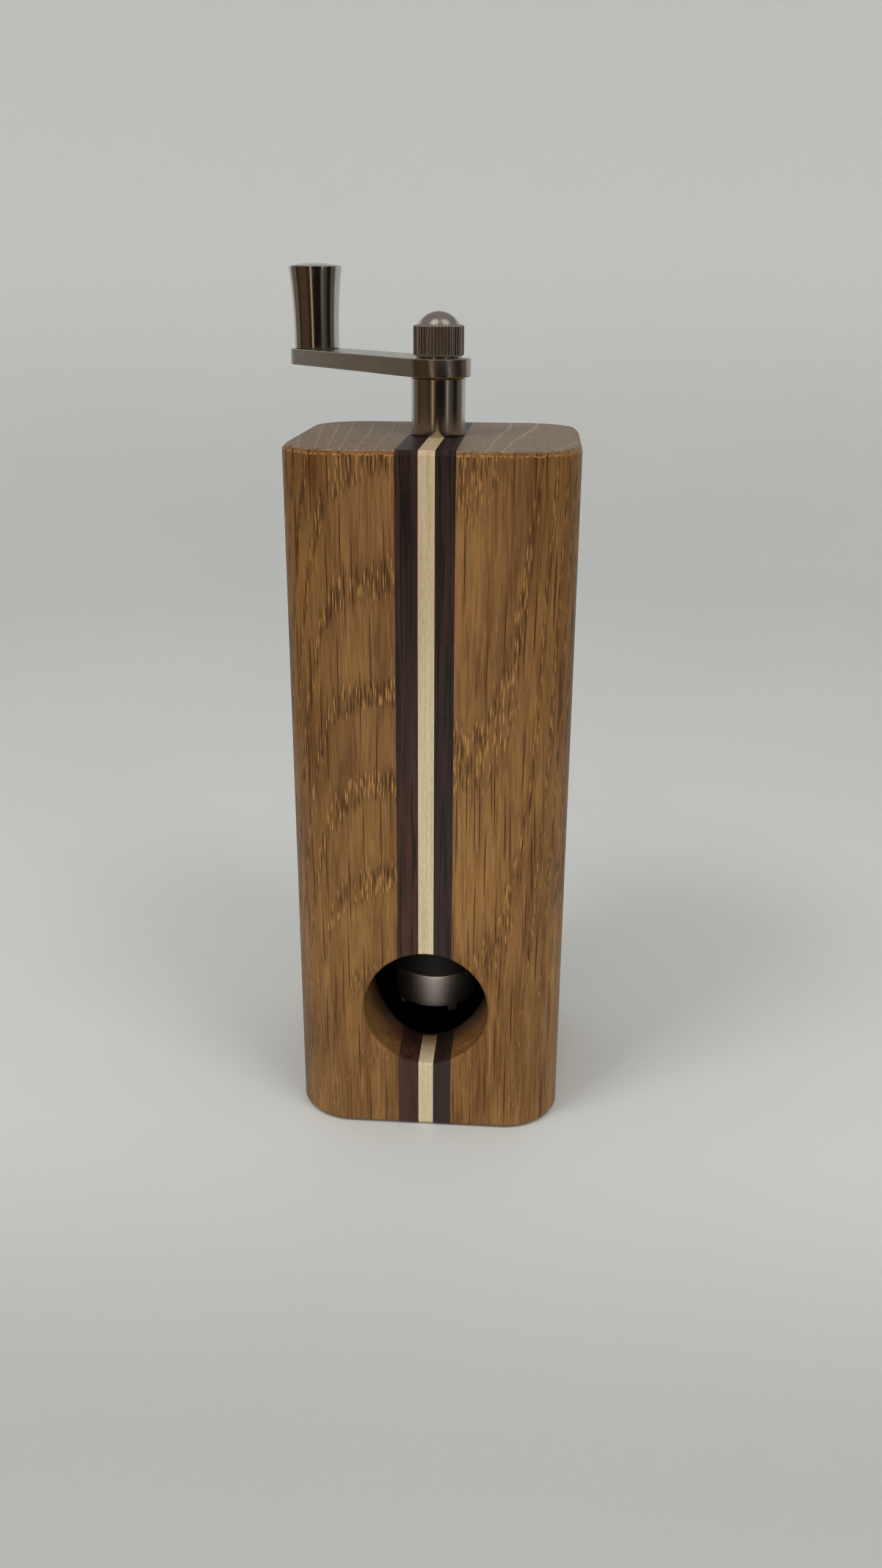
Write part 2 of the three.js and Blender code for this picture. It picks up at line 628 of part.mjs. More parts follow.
/** The spindle with all that slides up and down on it. */
function spindleAssembly() {
  const burrNutBottom = ringBottom - BURR_NUT_HEIGHT;
  const burrNut = rod(BURR_NUT_RADIUS, burrNutBottom, ringBottom, 6)
    .subtract(rod(SPINDLE_FOOT_RADIUS + FIXED_FIT, burrNutBottom - 1, ringBottom + 1, SHAFT_SIDES));
  const washerBore = SPINDLE_RADIUS + FIXED_FIT;
  const springWasher = washer(washerBore, SPRING_WASHER_RADIUS, innerBurrTop, springWasherTop);

  const group = new THREE.Group();
  group.add(
    piece('spindle', spindleSolid(), satinSteel),
    piece('inner_burr', innerBurr(), satinSteel),
    piece('burr_nut', burrNut, satinSteel),
    piece('spring_washer', springWasher, satinSteel),
    piece('lift_spring', springSolid(), springSteel),
  );
  return group;
}

// ---------------------------------------------------------------- crank

const gripX = ARM_LENGTH * Math.cos(ARM_ANGLE);
const gripY = ARM_LENGTH * Math.sin(ARM_ANGLE);
const axleTop = gripTop - GRIP_END_WALL - AXLE_TIP_GAP;
const snapRingTop = axleTop - SNAP_RING_DROP;
const snapRingBottom = snapRingTop - SNAP_RING_HEIGHT;

/** Flat bar with a round hub and a round end, joined by their common tangents. */
function armOutline() {
  const tangent = Math.acos((ARM_HUB_RADIUS - ARM_END_RADIUS) / ARM_LENGTH);
  const shape = new THREE.Shape();
  shape.absarc(0, 0, ARM_HUB_RADIUS, ARM_ANGLE + tangent, ARM_ANGLE + 2 * Math.PI - tangent, false);
  shape.absarc(gripX, gripY, ARM_END_RADIUS, ARM_ANGLE - tangent, ARM_ANGLE + tangent, false);
  return shape;
}

/** Crank arm with a square hole for the spindle and a round one for the grip's axle. */
function armSolid() {
  const axleHole = rod(AXLE_TAIL_RADIUS + FIXED_FIT, armBottom - 1, armTop + 1, SMALL_SIDES);
  return prism(armOutline(), armBottom, armTop, { bevel: ARM_EDGE, curveSegments: 12 })
    .subtract(prism(squareShape(squareSide + 2 * RUNNING_GAP), armBottom - 1, armTop + 1))
    .subtract(shifted(axleHole, gripX, gripY));
}

/** Axle riveted into the arm, with a groove near its tip. */
function axleSolid() {
  const grooveRadius = AXLE_RADIUS - SNAP_RING_DEPTH - FIXED_FIT;
  return turned([
    [0, armBottom], [AXLE_TAIL_RADIUS, armBottom], [AXLE_TAIL_RADIUS, armTop], [AXLE_RADIUS, armTop],
    [AXLE_RADIUS, snapRingBottom], [grooveRadius, snapRingBottom], [grooveRadius, snapRingTop],
    [AXLE_RADIUS, snapRingTop], [AXLE_RADIUS, axleTop], [0, axleTop],
  ], SMALL_SIDES);
}

/** Open spring ring in the axle's groove, which keeps the grip from lifting off. */
function snapRing() {
  const inner = AXLE_RADIUS - SNAP_RING_DEPTH;
  const outer = AXLE_RADIUS + SNAP_RING_DEPTH;
  const start = SNAP_RING_MOUTH / 2;
  const end = 2 * Math.PI - SNAP_RING_MOUTH / 2;
  const shape = new THREE.Shape();
  shape.absarc(0, 0, outer, start, end, false);
  shape.absarc(0, 0, inner, end, start, true);
  return prism(shape, snapRingBottom + FIXED_FIT, snapRingTop - FIXED_FIT, { curveSegments: 12 });
}

/** Grip: a flared, slightly domed knob on a blind bore with a groove for the snap ring. */
function gripSolid() {
  const boreRadius = AXLE_RADIUS + RUNNING_GAP;
  const boreTop = gripTop - GRIP_END_WALL;
  const grooveRadius = AXLE_RADIUS + SNAP_RING_DEPTH + 2 * RUNNING_GAP;
  const grooveTop = snapRingTop + RUNNING_GAP;
  const grooveBottom = snapRingBottom - RUNNING_GAP;
  const profile = [
    [0, boreTop], [boreRadius, boreTop], [boreRadius, grooveTop], [grooveRadius, grooveTop],
    [grooveRadius, grooveBottom], [boreRadius, grooveBottom], [boreRadius, gripBottom],
    [GRIP_BOTTOM_RADIUS - GRIP_EDGE / 2, gripBottom], [GRIP_BOTTOM_RADIUS, gripBottom + GRIP_EDGE / 2],
  ];
  const flareTop = gripTop - GRIP_CROWN - GRIP_EDGE;
  for (let step = 2; step <= FLARE_STEPS; step += 1) {
    const t = step / FLARE_STEPS;
    const radius = THREE.MathUtils.lerp(GRIP_BOTTOM_RADIUS, GRIP_TOP_RADIUS, t ** GRIP_FLARE_POWER);
    profile.push([radius, THREE.MathUtils.lerp(gripBottom, flareTop, t)]);
  }
  profile.push([GRIP_TOP_RADIUS - GRIP_EDGE * 0.3, gripTop - GRIP_CROWN - GRIP_EDGE * 0.3]);
  profile.push([GRIP_TOP_RADIUS - GRIP_EDGE, gripTop - GRIP_CROWN]);
  profile.push([GRIP_TOP_RADIUS / 2, gripTop - GRIP_CROWN * 0.25], [0, gripTop]);
  return turned(profile, SHAFT_SIDES);
}

/** The crank, with the grip's parts in a group on the grip's own axis. */
function crankAssembly() {
  const washerBore = AXLE_RADIUS + FIXED_FIT;
  const handle = new THREE.Group();
  handle.position.set(gripX, gripY, 0);
  handle.add(
    piece('grip_axle', axleSolid(), satinSteel),
    piece('axle_snap_ring', snapRing(), springSteel),
    piece('grip_washer', washer(washerBore, GRIP_WASHER_RADIUS, armTop, gripBottom, SMALL_SIDES), paleNylon),
    piece('grip', gripSolid(), polishedSteel),
  );
  const group = new THREE.Group();
  group.add(piece('crank_arm', armSolid(), satinSteel), handle);
  return group;
}

// ---------------------------------------------------------------- grind adjuster

/** Knurled nut: ridges along its side, chamfered at both ends, on a narrower neck. */
function nutSolid() {
  const knurlBottom = nutBottom + NUT_NECK_HEIGHT - SEAT_GAP;
  const chamferedRadius = NUT_RADIUS - NUT_CHAMFER;
  const envelope = turned([
    [0, knurlBottom], [chamferedRadius, knurlBottom], [NUT_RADIUS, knurlBottom + NUT_CHAMFER],
    [NUT_RADIUS, nutTop - NUT_CHAMFER], [chamferedRadius, nutTop], [0, nutTop],
  ], NUT_RIDGES);
  const ridges = toothedShape(NUT_RADIUS - RIDGE_DEPTH, NUT_RADIUS, NUT_RIDGES);
  const capSeat = nutTop - CAP_SPIGOT_HEIGHT - SEAT_GAP;
  return prism(ridges, knurlBottom, nutTop)
    .intersect(envelope)
    .add(rod(NUT_NECK_RADIUS, armTop, knurlBottom + NUT_CHAMFER, SHAFT_SIDES))
    .subtract(rod(STUD_RADIUS + FIXED_FIT, armTop - 1, nutTop + 1, SHAFT_SIDES))
    .subtract(rod(CAP_SPIGOT_RADIUS + SEAT_GAP, capSeat, nutTop + 1, SHAFT_SIDES));
}

/** Polished cap pressed into the nut: a shallow dome on a short spigot. */
function capSolid() {
  const profile = [
    [0, nutTop - CAP_SPIGOT_HEIGHT], [CAP_SPIGOT_RADIUS, nutTop - CAP_SPIGOT_HEIGHT],
    [CAP_SPIGOT_RADIUS, nutTop], [CAP_RADIUS, nutTop],
  ];
  const ballRadius = (CAP_RADIUS ** 2 + CAP_RISE ** 2) / (2 * CAP_RISE);
  const ballCentre = nutTop + CAP_RISE - ballRadius;
  const rimAngle = Math.asin(CAP_RADIUS / ballRadius);
  for (let step = DOME_STEPS - 1; step >= 0; step -= 1) {
    const angle = rimAngle * (step / DOME_STEPS);
    profile.push([ballRadius * Math.sin(angle), ballCentre + ballRadius * Math.cos(angle)]);
  }
  return turned(profile, SHAFT_SIDES);
}

/** The nut and its cap, which turn together. */
function adjusterAssembly() {
  const group = new THREE.Group();
  group.add(
    piece('adjuster_nut', nutSolid(), polishedSteel),
    piece('adjuster_cap', capSolid(), polishedSteel),
  );
  return group;
}

// ---------------------------------------------------------------- the whole mill

const mill = new THREE.Group();
mill.name = 'burr_mill';
mill.add(
  woodenBody(),
  basePlug(),
  topBush(),
  burrCarrier(),
  spindleAssembly(),
  crankAssembly(),
  adjusterAssembly(),
);

export default mill;
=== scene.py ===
# %% [markdown]
# # A hand-cranked burr mill in a laminated wooden block
#
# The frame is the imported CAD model. It says where every piece is and how it moves, and this script
# only gives the pieces their looks. The wooden block and the flat or hidden metal pieces keep their
# CAD meshes and get better materials. The round steel pieces that show are made again here with
# finer surfaces, because polished steel shows every facet in its reflections.
# Lengths in the frame are metres. Most numbers below are millimetres, turned into metres by MM.

import math

import bpy
import numpy as np
from mathutils import Matrix, Vector


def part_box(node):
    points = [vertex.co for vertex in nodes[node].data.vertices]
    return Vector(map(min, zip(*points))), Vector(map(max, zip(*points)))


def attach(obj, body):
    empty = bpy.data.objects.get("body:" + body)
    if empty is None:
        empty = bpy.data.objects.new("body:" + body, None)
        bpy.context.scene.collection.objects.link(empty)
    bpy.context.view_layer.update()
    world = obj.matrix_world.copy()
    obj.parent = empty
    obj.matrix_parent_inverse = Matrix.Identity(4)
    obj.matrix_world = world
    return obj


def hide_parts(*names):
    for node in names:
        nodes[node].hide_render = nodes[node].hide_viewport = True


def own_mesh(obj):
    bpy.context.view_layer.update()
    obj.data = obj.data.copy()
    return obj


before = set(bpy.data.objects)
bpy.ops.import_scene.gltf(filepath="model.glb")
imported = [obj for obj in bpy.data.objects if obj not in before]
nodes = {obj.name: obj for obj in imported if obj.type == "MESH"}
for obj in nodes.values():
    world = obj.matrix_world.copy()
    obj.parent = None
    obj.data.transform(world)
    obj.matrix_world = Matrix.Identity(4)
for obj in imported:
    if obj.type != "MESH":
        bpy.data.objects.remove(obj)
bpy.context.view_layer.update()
MM = 0.001

# %% [markdown]
# ## The camera
#
# A camera looks along its own -Z with +Y up. Its turn is built from three angles: how far it is
# turned to the side, how far it looks down, and a small roll. The lens is a mild wide angle, given
# in millimetres for a sensor whose long side is 36 mm, so the mill is seen from close by.

# %% Camera
SENSOR = 36.0
LENS = 29.6133
CAMERA_PLACE = Vector((23.765, -304.026, 195.294)) * MM
CAMERA_TURN = math.radians(-4.276)
CAMERA_PITCH = math.radians(20.825)
CAMERA_ROLL = math.radians(0.303)


def camera_axes(turn, pitch, roll):
    """Right, up and back of a camera that looks along +Y when every angle is zero."""
    ahead = Vector((
        math.sin(turn) * math.cos(pitch),
        math.cos(turn) * math.cos(pitch),
        -math.sin(pitch),
    ))
    level = Vector((math.cos(turn), -math.sin(turn), 0))
    over = level.cross(ahead)
    right = math.cos(roll) * level + math.sin(roll) * over
    up = -math.sin(roll) * level + math.cos(roll) * over
    return right, up, -ahead


lens = bpy.data.cameras.new("camera")
lens.sensor_width = SENSOR
lens.lens = LENS
lens.clip_start = 0.01
lens.clip_end = 20
camera = bpy.data.objects.new("camera", lens)
pose = Matrix(camera_axes(CAMERA_TURN, CAMERA_PITCH, CAMERA_ROLL)).transposed().to_4x4()
pose.translation = CAMERA_PLACE
camera.matrix_world = pose
scene = bpy.context.scene
scene.collection.objects.link(camera)
scene.camera = camera
scene.view_settings.view_transform = "Standard"
scene.view_settings.look = "None"
print(f"lens {lens.lens:.2f} mm, {CAMERA_PLACE.length:.3f} m from the origin")

# %% [markdown]
# ## Surfaces worked out with numpy
#
# Every new piece is a grid of points. Rows follow a profile and columns go round an axis, so the
# whole piece is one array. The faces join each point to its neighbours in the next row and column.
# A row that shrinks to one point on the axis becomes a fan of triangles, so the piece stays closed.

# %% Grid surfaces


def make_mesh(name, rows, bottom_pole=None, top_pole=None, loop=False):
    """A closed mesh from rows of points, an array of rows x columns x 3 in metres.

    Columns always close on themselves. Rows close on themselves with loop, as in a ring. Otherwise
    each end is closed by a pole, a point that the first or last row's columns all meet."""
    count, columns, _ = rows.shape
    points = rows.reshape(-1, 3)
    here = np.arange(count * columns).reshape(count, columns)
    lower = here if loop else here[:-1]
    upper = np.roll(here, -1, axis=0) if loop else here[1:]
    quads = np.stack([
        lower, np.roll(lower, -1, axis=1), np.roll(upper, -1, axis=1), upper,
    ], axis=-1).reshape(-1, 4)
    fans = []
    for pole, row, flip in ((bottom_pole, here[0], True), (top_pole, here[-1], False)):
        if pole is None:
            continue
        points = np.vstack([points, pole])
        tip = np.full(columns, len(points) - 1)
        ahead = np.roll(row, -1)
        fans.append(np.stack([ahead, row, tip] if flip else [row, ahead, tip], axis=-1))
    mesh = bpy.data.meshes.new(name)
    faces = quads.tolist() + [face for fan in fans for face in fan.tolist()]
    mesh.from_pydata(points.tolist(), [], faces)
    mesh.update()
    return mesh


def finish_piece(name, mesh, body, replaced):
    """Smooth the mesh between its sharp edges, and put it in the node's place on its body."""
    mesh.shade_smooth()
    mesh.set_sharp_from_angle(angle=math.radians(32))
    piece = bpy.data.objects.new(name, mesh)
    scene.collection.objects.link(piece)
    even = piece.modifiers.new("even shading", "WEIGHTED_NORMAL")
    even.keep_sharp = True
    even.weight = 80
    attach(piece, body)
    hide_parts(replaced)
    print(f"{name}: {len(mesh.vertices)} points, {len(mesh.polygons)} faces")
    return piece


def soften(corners, radius, steps=4):
    """Round the corners of a profile of [radius, height] points, in millimetres.

    Each inner corner is replaced by a curve that starts and ends `radius` away from it:
    point = (1-t)^2 * start + 2t(1-t) * corner + t^2 * end, for t from 0 to 1."""
    corners = np.asarray(corners, float)
    done = [corners[:1]]
    t = np.linspace(0, 1, steps + 1)[:, None]
    for before, corner, after in zip(corners, corners[1:], corners[2:]):
        back, on = before - corner, after - corner
        reach = min(radius, 0.45 * np.linalg.norm(back), 0.45 * np.linalg.norm(on))
        start = corner + back / np.linalg.norm(back) * reach
        end = corner + on / np.linalg.norm(on) * reach
        done.append((1 - t) ** 2 * start + 2 * t * (1 - t) * corner + t ** 2 * end)
    return np.vstack(done + [corners[-1:]])


def refine(profile, longest):
    """Add points along a profile's long stretches, so that no step is longer than `longest`."""
    profile = np.asarray(profile, float)
    steps = np.linalg.norm(np.diff(profile, axis=0), axis=1)
    whole = np.concatenate([[0], np.cumsum(steps)])
    counts = np.maximum(1, np.ceil(steps / longest).astype(int))
    where = np.concatenate([
        np.linspace(a, b, n, endpoint=False) for a, b, n in zip(whole, whole[1:], counts)
    ] + [whole[-1:]])
    return np.stack([np.interp(where, whole, profile[:, k]) for k in (0, 1)], axis=-1)


def turn_profile(profile, columns, centre=(0, 0)):
    """Rows of points: x = cx + r cos(a), y = cy + r sin(a), z = h, for each (r, h) and angle a."""
    angle = np.linspace(0, 2 * math.pi, columns, endpoint=False)
    r, h = profile[:, :1], profile[:, 1:]
    return np.stack([
        centre[0] + r * np.cos(angle), centre[1] + r * np.sin(angle), h + 0 * angle,
    ], axis=-1) * MM


def node_box(name):
    """Lowest and highest corner of a CAD node, in millimetres."""
    low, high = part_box(name)
    return np.array(low) / MM, np.array(high) / MM


# %% [markdown]
# ## The steel collar on the block's top
#
# The real collar is a turned bush with a thin chamfer. It is a ring, so its profile is a closed
# loop that runs up the outside and back down the bore, carried once round the spindle's axis.

# %% Collar
STEEL_COLUMNS = 128
collar_low, collar_high = node_box("top_bush")
block_top = node_box("oak_left")[1][2]
collar_radius = collar_high[0]
SPIGOT_RADIUS = 5.0
SHAFT_BORE = 3.08
collar_corners = [
    [SHAFT_BORE, collar_low[2]], [SPIGOT_RADIUS, collar_low[2]], [SPIGOT_RADIUS, block_top],
    [collar_radius, block_top], [collar_radius, collar_high[2]], [SHAFT_BORE, collar_high[2]],
    [SHAFT_BORE, collar_low[2]],
]
collar_profile = refine(soften(collar_corners, 0.3)[:-1], 1.2)
collar = finish_piece(
    "steel_collar", make_mesh("steel_collar", turn_profile(collar_profile, STEEL_COLUMNS), loop=True),
    "housing", "top_bush")

# %% [markdown]
# ## The grip
#
# The grip is a solid steel knob turned on a lathe. It is narrow at the foot and flares more and more
# towards the top, like a drawn-out bell, and the top is very slightly domed. The flare is a power
# curve, which stays nearly straight low down and opens near the rim. The blind bore for the axle is
# part of the same profile, so the knob is really hollow from below.

# %% Grip
grip_low, grip_high = node_box("grip")
grip_centre = (grip_low[:2] + grip_high[:2]) / 2
grip_top_radius = (grip_high[0] - grip_low[0]) / 2
GRIP_FOOT_RADIUS = 5.76
GRIP_FLARE = 2.6
GRIP_RIM = 0.4
GRIP_CROWN = 0.75
GRIP_BORE = 2.28
GRIP_END_WALL = 3.0


def grip_profile():
    """Radius = foot + (top - foot) * t^flare for t from 0 at the foot to 1 at the rim."""
    foot, rim = grip_low[2], grip_high[2] - GRIP_CROWN
    t = np.linspace(0.03, 1, 36)
    side = np.stack([
        GRIP_FOOT_RADIUS + (grip_top_radius - GRIP_FOOT_RADIUS) * t ** GRIP_FLARE,
        foot + (rim - GRIP_RIM - foot) * t,
    ], axis=-1)
    turn = np.linspace(0, math.pi / 2, 7)[1:]
    edge = np.stack([
        grip_top_radius - GRIP_RIM * (1 - np.cos(turn)), rim - GRIP_RIM * (1 - np.sin(turn)),
    ], axis=-1)
    inward = np.linspace(grip_top_radius - GRIP_RIM, 0.4, 12)[1:]
    crown = np.stack([
        inward, rim + GRIP_CROWN * (1 - (inward / (grip_top_radius - GRIP_RIM)) ** 2),
    ], axis=-1)
    bore_top = grip_high[2] - GRIP_END_WALL
    inside = soften([
        [0.3, bore_top], [GRIP_BORE, bore_top], [GRIP_BORE, foot], [GRIP_FOOT_RADIUS, foot],
        [side[0, 0], side[0, 1] + 0.5],
    ], 0.15)[:-1]
    return np.vstack([inside, side, edge, crown]), bore_top


grip_rows, grip_bore_top = grip_profile()
grip = finish_piece(
    "turned_grip",
    make_mesh(
        "turned_grip", turn_profile(grip_rows, STEEL_COLUMNS, grip_centre),
        bottom_pole=np.array([*grip_centre, grip_bore_top]) * MM,
        top_pole=np.array([*grip_centre, grip_high[2]]) * MM),
    "handle", "grip")

# %% [markdown]
# ## The knurled nut and its cap
#
# The nut sets the grind. Its side is cut into fine upright ridges for the fingers, which fade out on
# the chamfers at both ends. The ridges are a wave round the axis that is subtracted from the radius,
# so the grid needs many columns for each ridge. The domed cap is pressed into its top.

# %% Knurled nut and cap
RIDGES = 44
COLUMNS_PER_RIDGE = 10
RIDGE_DEPTH = 0.34
NUT_CHAMFER = 0.35
NUT_BORE = 2.06
CAP_SEAT_RADIUS = 3.9
CAP_SEAT_DEPTH = 1.4
nut_low, nut_high = node_box("adjuster_nut")
cap_low, cap_high = node_box("adjuster_cap")
nut_radius = nut_high[1]
NUT_NECK_RADIUS = 5.07
knurl_bottom = nut_low[2] + 0.5


def knurled_rows(profile, ridges, columns):
    """A turned profile whose radius is cut back by depth * weight(h) * (1 - |cos(n a / 2)|).

    n is the number of ridges and a the angle. The weight is 1 on the straight side, and falls to 0
    over the chamfers, so the cuts fade out there."""
    angle = np.linspace(0, 2 * math.pi, columns, endpoint=False)
    wave = 1 - np.abs(np.cos(ridges * angle / 2))
    r, h = profile[:, :1], profile[:, 1:]
    outside = np.clip((r - (nut_radius - NUT_CHAMFER)) / NUT_CHAMFER, 0, 1)
    cut = r - RIDGE_DEPTH * np.sqrt(outside) * wave
    return np.stack([cut * np.cos(angle), cut * np.sin(angle), h + 0 * angle], axis=-1) * MM


nut_shoulder = nut_radius - NUT_CHAMFER
nut_corners = [
    [NUT_BORE, nut_low[2]], [NUT_NECK_RADIUS, nut_low[2]], [NUT_NECK_RADIUS, knurl_bottom],
    [nut_shoulder, knurl_bottom], [nut_radius, knurl_bottom + NUT_CHAMFER],
    [nut_radius, nut_high[2] - NUT_CHAMFER], [nut_shoulder, nut_high[2]],
    [CAP_SEAT_RADIUS, nut_high[2]], [CAP_SEAT_RADIUS, nut_high[2] - CAP_SEAT_DEPTH],
    [NUT_BORE, nut_high[2] - CAP_SEAT_DEPTH], [NUT_BORE, nut_low[2]],
]
nut_profile = refine(soften(nut_corners, 0.1, 3)[:-1], 0.7)
knurled_nut = finish_piece(
    "knurled_nut",
    make_mesh("knurled_nut", knurled_rows(nut_profile, RIDGES, RIDGES * COLUMNS_PER_RIDGE), loop=True),
    "adjuster", "adjuster_nut")

CAP_SPIGOT_RADIUS = 3.6
cap_radius = cap_high[1]


def cap_profile():
    """Spigot, flat underside, then part of a ball: r = B sin(t), h = centre + B cos(t).

    The ball's radius B follows from the dome's radius R and rise H: B = (R^2 + H^2) / 2H."""
    base = nut_high[2] + 0.02
    rise = cap_high[2] - base
    ball = (cap_radius ** 2 + rise ** 2) / (2 * rise)
    t = np.linspace(math.asin(cap_radius / ball), 0, 33)[:-1]
    dome = np.stack([ball * np.sin(t), cap_high[2] - ball + ball * np.cos(t)], axis=-1)
    under = [[1.5, cap_low[2]], [CAP_SPIGOT_RADIUS, cap_low[2]], [CAP_SPIGOT_RADIUS, base]]
    return np.vstack([under, [[cap_radius - 0.25, base]], dome])


domed_cap = finish_piece(
    "domed_cap",
    make_mesh(
        "domed_cap", turn_profile(cap_profile(), STEEL_COLUMNS),
        bottom_pole=np.array([0, 0, cap_low[2]]) * MM, top_pole=np.array([0, 0, cap_high[2]]) * MM),
    "adjuster", "adjuster_cap")

# %% [markdown]
# ## The clamp ring inside the port
#
# A thin steel ring holds the outer burr in the carrier, and a few small lugs stand below its rim for
# a key. The ring is a closed loop of a profile with an inward lip, and its two lowest corners drop
# further wherever the angle is inside a lug.

# %% Clamp ring
ring_low, ring_high = node_box("clamp_ring")
ring_radius = ring_high[0]
RING_BORE = 9.9
RING_LIP_RADIUS = 8.9
RING_LIP = 0.6
LUGS = 4
LUG_WIDTH = 2.4
LUG_RAMP = 0.12
LUG_FIRST = math.radians(29)
LUG_DEPTH = 1.7
ring_bottom = ring_low[2] + LUG_DEPTH


def lug_drop(angle):
    """How far the rim is lowered: the full depth within half a lug's width of a lug's middle.

    The distance from a lug's middle is R * |angle away from the nearest lug|, and the edge is a
    short ramp, so that the lug keeps upright sides."""
    step = 2 * math.pi / LUGS
    away = np.abs((angle - LUG_FIRST + step / 2) % step - step / 2) * ring_radius
    return LUG_DEPTH * np.clip((LUG_WIDTH / 2 + LUG_RAMP / 2 - away) / LUG_RAMP, 0, 1)


def ring_rows():
    """A turned profile whose corners at the rim are lowered by lug_drop(angle)."""
    corners = np.array([
        [RING_LIP_RADIUS, ring_bottom], [ring_radius - 0.2, ring_bottom], [ring_radius, ring_bottom + 0.2],
        [ring_radius, ring_high[2] - 0.25], [ring_radius - 0.15, ring_high[2]], [RING_BORE, ring_high[2]],
        [RING_BORE, ring_bottom + RING_LIP], [RING_LIP_RADIUS, ring_bottom + RING_LIP],
    ])
    profile = soften(np.vstack([corners, corners[:1]]), 0.08, 3)[:-1]
    profile = refine(profile, 1.0)
    even = np.linspace(0, 2 * math.pi, 180, endpoint=False)
    middles = LUG_FIRST + np.arange(LUGS) * 2 * math.pi / LUGS
    half, ramp = LUG_WIDTH / 2, LUG_RAMP / 2
    sides = np.array([-half - ramp, -half + ramp, half - ramp, half + ramp])
    edges = (middles[:, None] + sides / ring_radius).ravel() % (2 * math.pi)
    angle = np.unique(np.round(np.concatenate([even, edges]), 5))
    r, h = profile[:, :1], profile[:, 1:]
    low = np.clip((ring_bottom + 0.3 - h) / 0.3, 0, 1)
    h = h - low * lug_drop(angle)
    return np.stack([r * np.cos(angle), r * np.sin(angle), h + 0 * angle], axis=-1) * MM


clamp_ring = finish_piece(
    "clamp_ring_turned", make_mesh("clamp_ring_turned", ring_rows(), loop=True),
    "housing", "clamp_ring")

# %% [markdown]
# ## A notebook of material steps
#
# A wood or steel material is a long chain of small nodes. This helper adds one node per call and
# gives back its output, so that a finish below reads as a list of steps. Patterns read the Object
# coordinates, turned into millimetres, so a grain size is a real size.

# %% Material helper


